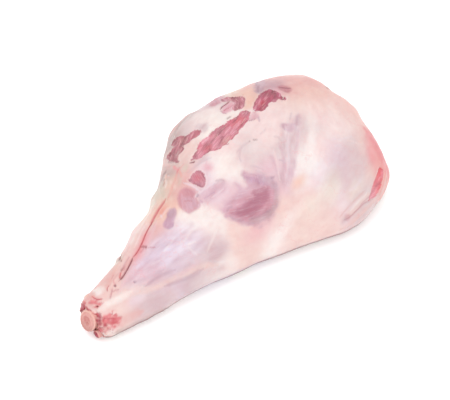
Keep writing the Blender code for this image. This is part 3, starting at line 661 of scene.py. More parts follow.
# spots with heights: place, reach, colour, strength, rise in mm
daubs = [
    # the garnet, blood and clot spots in the recess round the bone are blood with painted shade of the hollow
    ((-188, 7, 25), 5.4, "garnet", 0.95, -0.5), ((-187, 8, 28), 4.0, "blood", 0.9, 0.0),
    ((-192, 9.2, 21.5), 3.0, "dustyRed", 0.8, 0.0), ((-190, 8, 17), 5.0, "clot", 0.8, -0.6),
    ((-187, -20, 27), 3.0, "bloodBright", 0.8, -0.3), ((-190, -13, 12), 4.5, "clot", 0.9, -0.6),
    ((-190.5, -15, 18), 4.0, "blood", 0.9, -0.6), ((-181, -27, 26), 3.6, "red", 0.7, 0.4),
    ((-176, -29, 25), 4.0, "coral", 0.6, 0.0), ((-184.3, -24, 27.5), 3.0, "red", 0.85, 0.0),
    ((-180, -22, 30), 3.0, "coral", 0.7, 0.0), ((-182, 0, 34), 3.2, "coral", 0.7, 0.0), ((-186, -23, 27), 2.6, "coral", 0.8, 0.4),
    ((-180, 10, 30), 4.4, "apricot", 0.8, 1.2), ((-184.5, 6, 30.5), 4.0, "shrimp", 0.7, 0.8),
    ((-178, 5, 34), 3.4, "shrimp", 0.8, 0.6), ((-171, 4, 36), 5.0, "snow", 0.8, 0.5), ((-167, 6, 36), 5.5, "cream", 0.8, 0.4),
    ((-170, 9, 33), 5.0, "cream", 0.8, 0.3), ((-192, -17, 20), 2.8, "apricot", 0.9, 1.2),
    ((-191, -21, 22), 2.8, "rosewater", 0.9, 0.8), ((-190, -24.5, 19), 3.4, "salmon", 0.7, 0.4),
    ((-191, -25, 12), 5.0, "cream", 0.85, 0.5), ((-186, -29, 13), 6.0, "cream", 0.7, 0.0),
    ((-155, -4, 39.5), 1.5, "wine", 0.8, -0.4), ((-140.4, -16.4, 41), 1.2, "plumMist", 0.5, 0.0),
    ((-184.5, -30.2, 16.7), 1.4, "ruby", 0.8, 0.0), ((-180, -30.5, 15), 1.2, "dullRose", 0.8, 0.0),
    ((-160, 2, 38), 4.0, "salmon", 0.5, 0.0), ((-168, 12, 30), 4.0, "petal", 0.6, -0.4),
    ((-188.5, -16.8, 29.8), 2.8, "garnet", 0.85, -0.2), ((-190.8, -18.8, 27.6), 3.0, "garnet", 0.9, -0.2),
    ((-191.2, -19.7, 23.8), 3.0, "garnet", 0.8, 0.0), ((-189.6, -13.5, 31.5), 2.2, "bloodBright", 0.8, 0.0),
    ((-192, -14.5, 14.2), 2.8, "shrimp", 0.85, 0.0), ((-193, -14.1, 9.0), 3.0, "garnet", 0.85, 0.0),
    ((-187, -6, 32), 3.0, "salmon", 0.6, 0.0),
    ((86, -107, 29), 5.0, "dullRose", 0.45, 0.0), ((80, -105, 27), 5.0, "dusk", 0.5, 0.0),
]

# the lean that shows over the rump flap: path with heights, half width along it
sliver = {
    "path": [(118, -110, 33.5), (122, -110, 35.0), (129, -109, 37.0), (138, -106, 41.5), (146, -102, 46.5),
             (152, -98.5, 51)],
    "halfWidth": [(0.0, 1.0), (0.12, 4.2), (0.3, 7.0), (0.5, 7.6), (0.75, 6.2), (0.93, 4.8), (1.0, 3.8)],
    "tone": "coral",
    "bright": 1.14,
    "spots": [((150, -99, 50), 10.0, "scarlet", 0.65), ((126, -109.5, 36), 12.0, "candy", 0.6),
              ((137, -106, 41), 7.0, "pink", 0.45)],
}

# which way the fibres run: x, y, turn
grainGuides = [
    (-175, 0, 5), (-120, 8, 16), (-120, -28, -14), (-80, 22, 18), (-85, -15, -14), (-80, -45, -14), (-45, 34, 48),
    (-40, 8, 60), (-12, -6, -10), (-12, 20, 62), (0, -40, -28), (28, -45, 50), (45, -20, 56), (60, -40, 42),
    (85, -25, 38), (110, -10, 36), (20, 10, 20), (40, 40, 7), (80, 38, 8), (112, 38, 16), (92, 62, 58), (95, 92, 50),
    (10, 70, 20), (40, 95, 15), (140, 65, 48), (145, 20, 60), (120, -80, 20), (150, -95, 22), (165, -20, 75),
    (30, -80, 5),
]

# rises and hollows: x, y, half length, half width, turn, rise in mm
forms = [
    (-100, -17, 62, 15, -14, 1.6), (-88, -48, 55, 12, -14, 1.4), (112, -74, 44, 34, 60, 1.8),
    (30, 10, 46, 20, 25, 1.6), (8, -42, 32, 20, 10, 1.2), (88, -24, 45, 9, 38, -1.5),
    (-36, -8, 16, 14, 0, -0.8), (-58, 6, 16, 10, 20, -0.7), (100, 10, 26, 16, 10, 1.0),
    (60, 68, 22, 18, 0, 1.2), (160, 0, 30, 40, 0, 0.8), (-45, -22, 26, 8, -45, 1.4),
    (-10, -66, 34, 10, -8, 1.0), (40, -78, 40, 12, 0, 0.8), (-150, 14, 22, 8, 8, 0.8),
]


# small rises and hollows with their heights: place, reach, rise in mm
trims = [
    ((186, 58, 74), 16, -1.0), ((126, 93, 67), 16, -1.4), ((76, 104, 63.5), 14, -1.5), ((16, 100, 42), 14, -1.3),
    ((-1, 87, 34), 14, -1.4), ((-61, 49, 36), 14, -2.0), ((-131, 26, 26), 12, -2.2), ((-112, 32, 27), 10, -1.2),
    ((-88, -48, 5), 20, -1.0), ((-67, -54, 6), 16, -1.2), ((-18, -68, 6), 10, -0.9), ((177, -61, 70), 20, -2.2),
    ((176, -80, 54), 18, -2.4), ((175, -88, 43), 14, -1.4), ((159, -105, 16), 14, -1.6), ((137, -109, 11), 14, -1.4),
    ((183, -4, 84), 12, -1.0), ((181, -20, 82), 12, 1.7), ((179, -36, 79), 12, 2.3), ((83, -106, 8), 16, 1.7),
    ((104, -110, 9), 14, 1.3), ((11, -77, 7), 16, 1.0), ((-145, -37, 5), 14, 1.1), ((-124, -41, 5), 14, 1.0),
    ((-88, 40, 33), 12, 2.0), ((-42, 58, 36), 9, 2.2), ((39, 108, 52), 14, 1.2), ((62, 109, 58), 12, 1.2),
]


def findSkin(piece):
    # everything that the painting needs to know about each point of the skin
    mesh = piece.data
    place = getPlaces(mesh)
    edges = getEdges(mesh)
    bars = []
    for nodeName in ("shank_bone", "heel_tendon"):
        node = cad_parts[nodeName].data
        bars.append(BVHTree.FromPolygons([v.co for v in node.vertices], [p.vertices[:] for p in node.polygons]))
    away = np.array([min(bar.find_nearest(Vector(p))[3] for bar in bars) for p in place / 1000]) * 1000
    free = soften(away, *meat["boneClear"])
    share = 0.5 * soften(away, 0.6, 2.5) * soften(place[:, 2], 0.3, 2.0)
    share *= 0.12 + 0.88 * soften(place[:, 0], meat["nubsEnd"] - 4.0, meat["nubsEnd"] + 6.0)
    place = relax(place, edges, meat["smoothing"], share)
    setPlaces(mesh, place)
    facing = getNormals(mesh)
    return {"place": place, "edges": edges, "away": away, "free": free, "facing": facing,
            "upper": soften(facing[:, 2], -0.35, 0.05)}


def spotWeight(skin, x, y, halfLong, halfWide, turn=0.0):
    c, s = math.cos(math.radians(turn)), math.sin(math.radians(turn))
    dx, dy = skin["place"][:, 0] - x, skin["place"][:, 1] - y
    r = np.hypot((dx * c + dy * s) / halfLong, (dy * c - dx * s) / halfWide)
    return soften(1.0 - r * 0.8, 0.0, 1.0) * (r < 1.25)


def coat(tone, weight, code):
    tone += np.clip(weight, 0.0, 1.0)[:, None] * (asPaint(code) - tone)


def underpaint(skin):
    spots = np.array([(x, y) for x, y, _ in toneSpots], float)
    paints = np.array([asPaint(code) for _, _, code in toneSpots])
    flat = skin["place"][:, :2] + 3.0 * np.stack(
        [lumps(skin["place"], 22.0, 11), lumps(skin["place"], 22.0, 12)], 1)
    total = np.zeros((len(flat), 3))
    share = np.full(len(flat), 1e-12)
    for spot, paint in zip(spots, paints):
        w = np.exp(-((flat - spot) ** 2).sum(1) / (2 * 10.5 ** 2))
        total += w[:, None] * paint
        share += w
    tone = total / share[:, None]
    # the hidden underside: cream fat, with rosy and lilac areas
    low = np.tile(asPaint("shell"), (len(flat), 1))
    coat(low, soften(lumps(skin["place"], 46.0, 21), 0.0, 0.6), "rosewater")
    coat(low, soften(lumps(skin["place"], 60.0, 22), 0.15, 0.7), "lilac")
    coat(low, soften(lumps(skin["place"], 30.0, 23), 0.35, 0.8), "ivory")
    return low + skin["upper"][:, None] * (tone - low)


def streaks(skin):
    # soft streaks that follow the fibres, -1 to 1, as broad and as fine ones
    place = skin["place"]
    pull, total = np.zeros(len(place)), np.full(len(place), 1e-9)
    for x, y, turn in grainGuides:
        w = np.exp(-((place[:, 0] - x) ** 2 + (place[:, 1] - y) ** 2) / (2 * 16.0 ** 2))
        pull += w * turn
        total += w
    way = pull / total
    broad, fine = np.zeros(len(place)), np.zeros(len(place))
    for step in range(-30, 91, 15):
        near = np.clip(1.0 - np.abs(way - step) / 15.0, 0.0, 1.0)
        pick = np.where(near > 0)[0]
        if not len(pick):
            continue
        c, s = math.cos(math.radians(step)), math.sin(math.radians(step))
        p = place[pick]
        turned = np.stack([(p[:, 0] * c + p[:, 1] * s) / 16.0, (p[:, 1] * c - p[:, 0] * s) / 2.6, p[:, 2] / 4.0], 1)
        share = np.sqrt(near[pick])
        broad[pick] += share * lumps(turned * (0.8, 0.45, 0.6), 1.0, 51 + step, 2)
        fine[pick] += share * lumps(turned, 1.0, 151 + step, 2)
    return way, broad * 1.6, fine * 1.6


def paintMeat(skin):
    place, upper = skin["place"], skin["upper"]
    count = len(place)
    flat = place[:, :2]
    ragged = lumps(place, 7.0, 31, 3) * 1.4
    way, broad, fine = streaks(skin)
    fell = underpaint(skin)
    film = np.zeros(count)
    rise = np.zeros(count)
    turn = np.full(count, -6.0)
    for x, y, halfLong, halfWide, angle, code, strength in washes:
        coat(fell, upper * strength * spotWeight(skin, x, y, halfLong, halfWide, angle), code)
    for x, y, halfLong, halfWide, angle, height in forms:
        rise += upper * height * spotWeight(skin, x, y, halfLong, halfWide, angle)
    for spot, reach, height in trims:
        rise += height * np.exp(-1.5 * ((place - spot) ** 2).sum(1) / reach ** 2)
    for outline, code, strength, edge, wander, sink, angle in films.values():
        depth = insideBy(flat, outline) + wander * (ragged + 0.8 * fine)
        w = upper * soften(depth, -edge, edge)
        coat(fell, strength * w, code)
        film = np.maximum(film, w)
        rise -= sink * w
        turn = np.where(w > 0.3, angle, turn)
    # streaks in the fell, stronger where it is thin
    strength = 0.035 + 0.10 * film
    fell *= (1.0 + strength * broad + 0.7 * strength * fine)[:, None] ** np.array([0.6, 1.1, 1.0])
    fell *= (1.0 + 0.05 * lumps(place, 9.0, 33, 3) + 0.04 * lumps(place, 26.0, 34, 2))[:, None] ** np.array([0.3, 1.2, 1.0])
    # painted light: the near side's lower slope, facing the front, is painted slightly paler
    fell *= (1.0 + 0.04 * soften(-skin["facing"][:, 1], 0.15, 0.65))[:, None]
    toRump = soften(skin["facing"][:, 0], 0.0, 0.45) * soften(place[:, 0], 85.0, 125.0)
    fell *= 1.0 + toRump[:, None] * (0.11, 0.02, 0.02)
    # the far side under its widest part: pale fell again, with rosy areas
    away = (soften(skin["facing"][:, 1], 0.30, 0.70) * soften(-skin["facing"][:, 2], -0.55, 0.0)
            * soften(place[:, 0], -90.0, -50.0))
    coat(fell, 0.85 * away, "shell")
    coat(fell, 0.5 * away * soften(lumps(place, 34.0, 97, 2), -0.1, 0.5), "rosewater")
    coat(fell, 0.4 * away * soften(lumps(place, 26.0, 98, 2), 0.1, 0.6), "ash")
    for path, halfWidth, edge, code, strength, height in marks:
        gap, share = alongPath(place, path)
        gap = gap + 0.45 * ragged
        taper = np.clip(np.minimum(share, 1 - share) * 8, 0.35, 1.0)
        w = soften(-gap, -(halfWidth + edge) * taper, -halfWidth * taper * 0.5)
        if len(path[0]) == 2:
            w = w * upper
        coat(fell, strength * w * (0.85 + 0.3 * ragged), code)
        rise += height * w
    # clotted and torn tissue at the shank's end; its darkness in the recess round the bone is blood with painted shade
    # of the hollow
    atEnd = soften(-place[:, 0], 184.0, 189.0) * soften(-skin["facing"][:, 0], 0.3, 0.75)
    coat(fell, 0.85 * atEnd, "red")
    coat(fell, 0.8 * atEnd * soften(lumps(place, 4.0, 61, 2), 0.0, 0.5), "blood")
    coat(fell, 0.7 * atEnd * soften(lumps(place, 5.0, 62, 2), 0.1, 0.6), "apricot")
    rise += 0.9 * atEnd * lumps(place, 3.6, 63, 2)
    for spot, reach, code in (((-181, -25, 26), 10.0, "red"), ((-183, -3, 34), 8.0, "red")):
        near = soften(1.2 - np.linalg.norm(place - spot, axis=1) / reach, 0.0, 0.6)
        coat(fell, 0.8 * near * soften(lumps(place * (0.6, 1.0, 1.0), 2.4, 64, 3), 0.02, 0.40), code)
    for spot, reach, code, strength, height in daubs:
        r = np.linalg.norm(place - spot, axis=1) / reach + 0.25 * ragged
        w = soften(1.15 - r, 0.0, 0.85)
        coat(fell, strength * w, code)
        rise += height * w
    # torn places
    flesh = np.tile(asPaint("ruby"), (count, 1))
    bare = np.full(count, -8.0)
    calm = np.zeros(count, bool)
    for name, (outline, code, angle, spots, covers) in bares.items():
        wander = meat["edgeWander"] * (0.25 if name in calmPatches else 1.0)
        depth = insideBy(flat, outline) + wander * (0.7 * ragged + 0.9 * fine) - 8.0 * (1 - upper)
        for x, y, reach, amount in covers:
            depth -= amount * (1.0 + 0.8 * fine) * spotWeight(skin, x, y, reach, reach)
        depth = np.where(upper > 0.0, depth, -8.0)
        near = depth > -4.0
        turn = np.where(depth > -1.0, angle, turn)
        tone = np.tile(asPaint(code), (count, 1))
        for x, y, reach, spotCode, strength in spots:
            coat(tone, strength * spotWeight(skin, x, y, reach, reach * 0.8, angle), spotCode)
        flesh = np.where(near[:, None], tone, flesh)
        bare = np.maximum(bare, depth)
        if name in calmPatches:
            calm |= near
    gap, share = alongPath(place, sliver["path"])
    width = np.interp(share, *zip(*sliver["halfWidth"]))
    depth = np.where((gap < 14.0) & (share < 0.995), width - gap + 0.5 * ragged, -8.0)
    tone = np.tile(asPaint(sliver["tone"]), (count, 1))
    for spot, reach, code, strength in sliver["spots"]:
        coat(tone, strength * soften(1.2 - np.linalg.norm(place - spot, axis=1) / reach, 0.0, 1.0), code)
    flesh = np.where((depth > -4.0)[:, None], sliver["bright"] * tone, flesh)
    bare = np.maximum(bare, depth)
    calm |= depth > -4.0
    # the cut face at the rump end
    toEnd = skin["facing"] @ np.array(rumpFace["facing"])
    depth = insideBy(place[:, 1:], rumpFace["outline"], 10.0) + 1.6 * ragged - 12.0 * (1.0 - soften(toEnd, 0.6, 0.8))
    depth = np.where(place[:, 0] > 150.0, depth, -8.0)
    tone = np.tile(asPaint(rumpFace["tone"]), (count, 1))
    for y, z, reach, code, strength in rumpFace["muscles"]:
        r = np.linalg.norm(place[:, 1:] - (y, z), axis=1) / reach + 0.2 * ragged
        coat(tone, strength * soften(1.15 - r, 0.0, 0.7), code)
    coat(tone, 0.4 * soften(lumps(place, 9.0, 92, 3), 0.0, 0.5), "maroon")
    vein = np.abs(lumps(place * (1.0, 0.6, 1.5), 13.0, 94, 2))
    coat(tone, 0.6 * soften(-vein, -0.05, 0.0) * soften(lumps(place, 20.0, 95), -0.1, 0.3), "rosewater")
    width = 0.4 + 1.5 * soften(lumps(place, 15.0, 93, 2), -0.4, 0.5)
    for seam in rumpFace["seams"]:
        gap, share = alongPath(place[:, 1:], seam)
        taper = np.clip(np.minimum(share, 1 - share) * 5, 0.3, 1.0)
        coat(tone, 0.6 * soften(-gap - 0.5 * ragged, -(width + 1.8) * taper, -width * taper), "salmon")
        coat(tone, 0.9 * soften(-gap - 0.5 * ragged, -(width + 0.6) * taper, -0.5 * width * taper), "cream")
    coat(fell, np.where(depth > -7.9, 0.8 * np.exp(-((depth + 3.2) / 2.4) ** 2), 0.0), "cream")
    flesh = np.where((depth > -4.0)[:, None], tone, flesh)
    bare = np.maximum(bare, depth)
    calm |= depth > -4.0
    coat(flesh, 0.40 * np.exp(-((bare - 0.9) / 0.8) ** 2) * soften(lumps(place, 9.0, 32, 2), -0.2, 0.4), "maroon")
    coat(flesh, 0.45 * soften(fine, 0.35, 0.75), "candy")
    coat(flesh, np.where(calm, 0.12, 0.40) * soften(-fine, 0.35, 0.75), "wine")
    fibre = np.where(calm, 0.5, 1.0) * (0.16 * broad + 0.24 * fine)
    flesh *= (1.0 + fibre)[:, None] ** np.array([0.8, 1.3, 1.2])
    # painted contact shadow: the downward-turned edge next to the floor is coated umber, strongest on the near side
    down = -skin["facing"][:, 2]
    low = soften(down, 0.12, 0.38) * soften(-down, -0.80, -0.58) * soften(-place[:, 2], -18.0, -11.0)
    low *= 0.30 + 0.70 * soften(-skin["facing"][:, 1], 0.1, 0.5)
    coat(fell, low * (0.90 + 0.25 * lumps(place, 18.0, 96, 2)), "umber")
    return {"fell": np.clip(fell, 0.004, 0.95), "flesh": np.clip(flesh, 0.004, 0.9), "bare": np.clip(bare, -8.0, 8.0),
            "film": film, "rise": rise, "turn": turn, "broad": broad, "fine": fine, "ragged": ragged, "way": way,
            "calm": calm}


def buildMeat():
    piece = denseCopy("leg_meat", "lambLeg", meat["voxel"], nubs)
    skin = findSkin(piece)
    print("meat points", len(skin["place"]))
    look = paintMeat(skin)
    place, free = skin["place"], skin["free"]
    bare = look["bare"]
    rise = look["rise"]
    rise -= meat["patchSink"] * soften(bare, -0.5, 2.5)
    rise += meat["lipRise"] * np.exp(-((bare + 1.6) / 1.1) ** 2) * (0.6 + look["ragged"])
    rise += 0.22 * look["fine"] * soften(bare, -0.5, 1.0) + 0.14 * look["broad"] * (0.3 + look["film"])
    rise += 0.40 * lumps(place, 14.0, 41, 2) + 0.18 * lumps(place, 5.0, 42, 2)
    rise *= free * soften(place[:, 2], 0.5, 6.0)
    place = place + skin["facing"] * rise[:, None]
    place[:, 2] = np.maximum(place[:, 2], 0.0)
    setPlaces(piece.data, place)
    angle = np.radians(look["turn"])
    c, s = np.cos(angle), np.sin(angle)
    grain = np.stack([place[:, 0] * c + place[:, 1] * s, place[:, 1] * c - place[:, 0] * s, place[:, 2]], 1)
    mesh = piece.data
    setColour(mesh, "fell", look["fell"])
    setColour(mesh, "flesh", look["flesh"])
    setFloat(mesh, "bare", bare)
    setFloat(mesh, "film", look["film"])
    setVector(mesh, "grain", grain)
    turn = np.radians(np.where((bare > -2.0) | (look["film"] > 0.3), look["turn"], look["way"]))
    setVector(mesh, "fibreWay", np.stack([np.cos(turn), np.sin(turn), np.zeros(len(turn))], 1))
    return piece, skin, look


class Graph:
    # a material's nodes, added one line at a time
    def __init__(self, name):
        self.material = bpy.data.materials.new(name)
        self.material.use_nodes = True
        self.nodes = self.material.node_tree.nodes
        self.links = self.material.node_tree.links
        self.shader = self.nodes["Principled BSDF"]

    def add(self, kind, inputs=None, **settings):
        node = self.nodes.new("ShaderNode" + kind)
        for key, value in settings.items():
            setattr(node, key, value)
        for key, value in (inputs or {}).items():
            if isinstance(value, bpy.types.NodeSocket):
                self.links.new(value, node.inputs[key])
            else:
                node.inputs[key].default_value = value
        return node

    def read(self, name, output="Fac"):
        return self.add("Attribute", attribute_name=name).outputs[output]

    def spots(self, vector, scale, detail=2.0, rough=0.5, stretch=None):
        if stretch:
            vector = self.add("Mapping", {"Vector": vector, "Scale": stretch}).outputs[0]
        return self.add("TexNoise", {"Vector": vector, "Scale": scale, "Detail": detail,
                                     "Roughness": rough}).outputs["Fac"]

    def ramp(self, value, low, high, outLow=0.0, outHigh=1.0):
        return self.add("MapRange", {0: value, 1: low, 2: high, 3: outLow, 4: outHigh},
                        interpolation_type="SMOOTHSTEP").outputs[0]

    def math(self, kind, a, b=0.0, c=0.0):
        return self.add("Math", {0: a, 1: b, 2: c}, operation=kind).outputs[0]

    def mix(self, share, a, b, kind="MIX"):
        return self.add("Mix", {0: share, 6: a, 7: b}, data_type="RGBA", blend_type=kind).outputs[2]

    def set(self, **values):
        for key, value in values.items():
            socket = self.shader.inputs[key.replace("_", " ")]
            if isinstance(value, bpy.types.NodeSocket):
                self.links.new(value, socket)
            else:
                socket.default_value = value


def meatMaterial():
    g = Graph("lambMeatAndFell")
    here = g.add("TexCoord").outputs["Object"]
    grain = g.read("grain", "Vector")
    film = g.read("film")
    torn = g.math("MULTIPLY_ADD", g.spots(here, 380.0, 4.0, 0.65), 4.4, -2.2)
    frayed = g.math("MULTIPLY_ADD", g.spots(grain, 1.0, 2.0, 0.5, (0.10, 0.9, 0.9)), 3.0, -1.5)
    depth = g.math("ADD", g.read("bare"), g.math("ADD", torn, frayed))
    isBare = g.ramp(depth, -0.5, 0.6)
    fibre = g.spots(grain, 1.0, 3.0, 0.6, (0.07, 0.75, 0.75))
    fineFibre = g.spots(grain, 1.0, 2.0, 0.5, (0.16, 2.2, 2.2))
    mottle = g.spots(here, 110.0, 4.0, 0.6)
    # bare muscle: dark and light bundles with pale threads between them
    flesh = g.mix(g.ramp(fibre, 0.35, 0.68), g.read("flesh", "Color"), (0.84, 0.73, 0.75, 1.0), "MULTIPLY")
    flesh = g.mix(g.ramp(fineFibre, 0.52, 0.74, 0.0, 0.40), flesh, (*asPaint("rosewater"), 1.0))
    # the fell: faint mottling, streaks where it is thin, and hair-fine veins
    fell = g.mix(g.ramp(mottle, 0.35, 0.7, 0.0, 0.4), g.read("fell", "Color"), (0.96, 0.84, 0.84, 1.0), "MULTIPLY")
    streak = g.math("MULTIPLY", g.ramp(fibre, 0.5, 0.8), g.math("MULTIPLY", film, 0.30))
    fell = g.mix(streak, fell, (*asPaint("mist"), 1.0))
    vein = g.math("ABSOLUTE", g.math("SUBTRACT", g.spots(here, 38.0, 5.0, 0.55), 0.5))
    vein = g.math("MULTIPLY", g.ramp(vein, 0.0, 0.012, 0.30, 0.0), g.ramp(g.spots(here, 21.0, 1.0), 0.45, 0.65))
    fell = g.mix(vein, fell, (*asPaint("blush"), 1.0))
    lip = g.math("MULTIPLY", g.ramp(depth, -2.4, -0.9), g.ramp(depth, -0.9, 0.4, 0.28, 0.0))
    fell = g.mix(lip, fell, (*asPaint("shell"), 1.0))
    g.set(Base_Color=g.mix(isBare, fell, flesh))
    rough = g.math("MULTIPLY_ADD", mottle, 0.2, 0.34)
    g.set(Roughness=g.math("MULTIPLY_ADD", isBare, -0.06, rough))
    height = g.math("MULTIPLY_ADD", g.math("MULTIPLY", fibre, g.math("MAXIMUM", isBare, film)), 0.6,
                    g.math("MULTIPLY", g.spots(here, 260.0, 4.0, 0.6), 0.35))
    bump = g.add("Bump", {"Strength": 0.55, "Distance": 0.0008, "Height": height})
    g.set(Normal=bump.outputs[0], Subsurface_Weight=0.18, Subsurface_Scale=0.004,
          Subsurface_Radius=(1.0, 0.45, 0.35), Coat_Weight=0.12, Coat_Roughness=0.22)
    return g.material


lambLeg, skin, look = buildMeat()
lambLeg.data.materials.append(meatMaterial())
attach(lambLeg, "root")
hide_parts("leg_meat")
print("meat ready", len(lambLeg.data.polygons))



bone = {
    "voxel": 0.0007,
    "rim": 0.80,                # where the hard wall ends, as a share of the radius
    "marrowSink": 0.55,         # mm
    "colours": {"wall": "shrimp", "rim": "apricot", "ring": "brick", "spongy": "shrimp", "marrow": "brick",
                "stain": "garnet"},
}

tendon = {
    "voxel": 0.00045,
    "colours": {"core": "garnet", "dark": "clot", "rim": "shrimp", "side": "shrimp"},
}


def buildBone():
    piece = denseCopy("shank_bone", "shankBone", bone["voxel"])
    mesh = piece.data
    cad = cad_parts["shank_bone"].data
    sawn = [p for p in cad.polygons if p.normal.x < -0.9 and p.area > 0]
    outward = sum((p.normal * p.area for p in sawn), Vector()).normalized()
    spots = np.array([cad.vertices[i].co for p in sawn for i in p.vertices]) * 1000
    centre = (spots.min(0) + spots.max(0)) / 2
    n = np.array(outward)
    across = np.cross((0.0, 0.0, 1.0), n)
    across /= np.linalg.norm(across)
    upward = np.cross(n, across)

    def polar(p):
        rel = p - centre
        u, v = rel @ across, rel @ upward
        return np.hypot(u, v), np.arctan2(v, u), rel @ n, u, v

    rimReach, rimTurn, _, _, _ = polar(spots)
    order = np.argsort(rimTurn)
    order = order[rimReach[order] > 0.7 * rimReach.max()]
    place = relax(getPlaces(mesh), getEdges(mesh), 3, 0.5)
    setPlaces(mesh, place)
    facing = getNormals(mesh)
    reach, turn, height, u, v = polar(place)
    edge = np.interp(turn, rimTurn[order], rimReach[order], period=2 * math.pi)
    wobble = 0.05 * lumps(place, 6.0, 71)
    ring = reach / edge + wobble
    onFace = soften(height, -1.2, -0.3)
    rise = -bone["marrowSink"] * soften(bone["rim"] - ring, -0.02, 0.10)
    rise += 0.30 * lumps(place, 1.7, 72, 2) * soften(bone["rim"] - ring, 0.0, 0.1)
    rise += 0.10 * lumps(place * (0.2, 1.0, 1.0), 1.4, 73)
    rise -= 0.25 * np.exp(-((ring - bone["rim"]) / 0.025) ** 2)
    outside = soften(-height, 0.3, 1.2)
    rise = rise * onFace + outside * 0.22 * lumps(place * (0.35, 1.0, 1.0), 3.5, 74, 2)
    place = place + facing * rise[:, None]
    setPlaces(mesh, place)
    tone = np.tile(asPaint(bone["colours"]["wall"]), (len(place), 1))
    coat(tone, outside * 0.6 * soften(lumps(place * (0.4, 1, 1), 4.0, 75, 2), -0.1, 0.5), bone["colours"]["rim"])
    coat(tone, 0.9 * soften(-height, 3.5, 7.5) * (0.75 + 0.5 * lumps(place, 3.0, 76, 2)), bone["colours"]["stain"])
    face = tone.copy()
    coat(face, 0.55 * onFace, bone["colours"]["rim"])
    coat(face, onFace * soften(bone["rim"] - ring, -0.01, 0.05), bone["colours"]["spongy"])
    side = np.hypot(u + 1.6, v - 0.6) / 5.2
    coat(face, onFace * 0.8 * soften(1.2 - side - 0.5 * wobble * 8, 0.0, 0.5), bone["colours"]["marrow"])
    coat(face, onFace * 0.85 * np.exp(-((ring - bone["rim"]) / 0.03) ** 2), bone["colours"]["ring"])
    curl = np.exp(-((np.hypot(u + 1.2, v + 0.4) - 4.6) / 0.55) ** 2) * soften(np.sin(turn + 0.6), -0.2, 0.5)
    coat(face, onFace * 0.6 * curl, bone["colours"]["ring"])
    coat(face, onFace * 0.35 * soften(lumps(place, 2.2, 77, 2), 0.1, 0.6), "apricot")
    coat(face, onFace * 0.45 * soften(-v, -1.0, 9.0), "fawn")
    setColour(mesh, "tone", np.clip(face, 0.004, 0.95))
    setFloat(mesh, "spongy", onFace * soften(bone["rim"] - ring, 0.0, 0.06))
    return piece


def boneMaterial():
    g = Graph("sawnBone")
    here = g.add("TexCoord").outputs["Object"]
    spongy = g.read("spongy")
    pores = g.add("TexVoronoi", {"Vector": here, "Scale": 1100.0, "Randomness": 1.0}).outputs["Distance"]
    pore = g.math("MULTIPLY", g.ramp(pores, 0.10, 0.42, 1.0, 0.0), g.math("MULTIPLY", spongy, 0.55))
    grain = g.spots(here, 1.0, 4.0, 0.6, (120.0, 700.0, 700.0))
    tone = g.mix(g.ramp(grain, 0.35, 0.7, 0.0, 0.35), g.read("tone", "Color"), (0.88, 0.66, 0.62, 1.0), "MULTIPLY")
    tone = g.mix(pore, tone, (*asPaint("blood"), 1.0))
    g.set(Base_Color=tone, Roughness=g.math("MULTIPLY_ADD", grain, 0.25, 0.30))
    height = g.math("MULTIPLY_ADD", grain, 0.4, g.math("MULTIPLY", pore, -1.0))
    bump = g.add("Bump", {"Strength": 0.6, "Distance": 0.0005, "Height": height})
    g.set(Normal=bump.outputs[0], Subsurface_Weight=0.1, Subsurface_Scale=0.002,
          Subsurface_Radius=(1.0, 0.5, 0.4), Coat_Weight=0.15, Coat_Roughness=0.2)
    return g.material


def buildTendon():
    piece = denseCopy("heel_tendon", "heelTendon", tendon["voxel"])
    mesh = piece.data
    place = relax(getPlaces(mesh), getEdges(mesh), 4, 0.5)
    setPlaces(mesh, place)
    facing = getNormals(mesh)
    tip = place[place[:, 0].argmin()]
    low, high = np.array(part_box("heel_tendon")[0]) * 1000, np.array(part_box("heel_tendon")[1]) * 1000
    axis = np.array([1.0, -0.24, 0.09])
    axis /= np.linalg.norm(axis)
    middle = np.array([low[0], place[place[:, 0] < low[0] + 2.5][:, 1].mean(), place[place[:, 0] < low[0] + 2.5][:, 2].mean()])
    rel = place - middle
    off = rel - (rel @ axis)[:, None] * axis
    ring = np.linalg.norm(off, axis=1) / 4.7 + 0.10 * lumps(place, 3.0, 81, 2)
    depth = rel @ axis
    core = soften(0.80 - ring, -0.06, 0.10) * soften(2.8 - depth, 0.0, 1.0)
    strands = lumps(place, 1.3, 82, 2)
    rise = -0.35 * core + 0.22 * strands + 0.25 * np.exp(-((ring - 0.86) / 0.08) ** 2)
    place = place + facing * rise[:, None]
    setPlaces(mesh, place)
    tone = np.tile(asPaint(tendon["colours"]["side"]), (len(place), 1))
    coat(tone, soften(2.6 - depth, 0.0, 1.0), tendon["colours"]["rim"])
    coat(tone, core, tendon["colours"]["core"])
    coat(tone, core * soften(strands, -0.1, 0.5) * 0.8, tendon["colours"]["dark"])
    coat(tone, 0.6 * core * soften(-strands, 0.35, 0.7), "pink")
    setColour(mesh, "tone", np.clip(tone, 0.004, 0.95))
    return piece


def tendonMaterial():
    g = Graph("cutTendon")
    here = g.add("TexCoord").outputs["Object"]
    grain = g.spots(here, 1.0, 3.0, 0.6, (300.0, 1500.0, 1500.0))
    tone = g.mix(g.ramp(grain, 0.4, 0.7, 0.0, 0.35), g.read("tone", "Color"), (0.8, 0.62, 0.62, 1.0), "MULTIPLY")
    g.set(Base_Color=tone, Roughness=g.math("MULTIPLY_ADD", grain, 0.2, 0.28))
    bump = g.add("Bump", {"Strength": 0.5, "Distance": 0.0004, "Height": grain})
    g.set(Normal=bump.outputs[0], Subsurface_Weight=0.12, Subsurface_Scale=0.002,
          Subsurface_Radius=(1.0, 0.4, 0.35), Coat_Weight=0.2, Coat_Roughness=0.18)
    return g.material


shankBone = buildBone()
shankBone.data.materials.append(boneMaterial())
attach(shankBone, "root")
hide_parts("shank_bone")
heelTendon = buildTendon()
heelTendon.data.materials.append(tendonMaterial())
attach(heelTendon, "root")
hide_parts("heel_tendon")
print("bone and tendon ready")



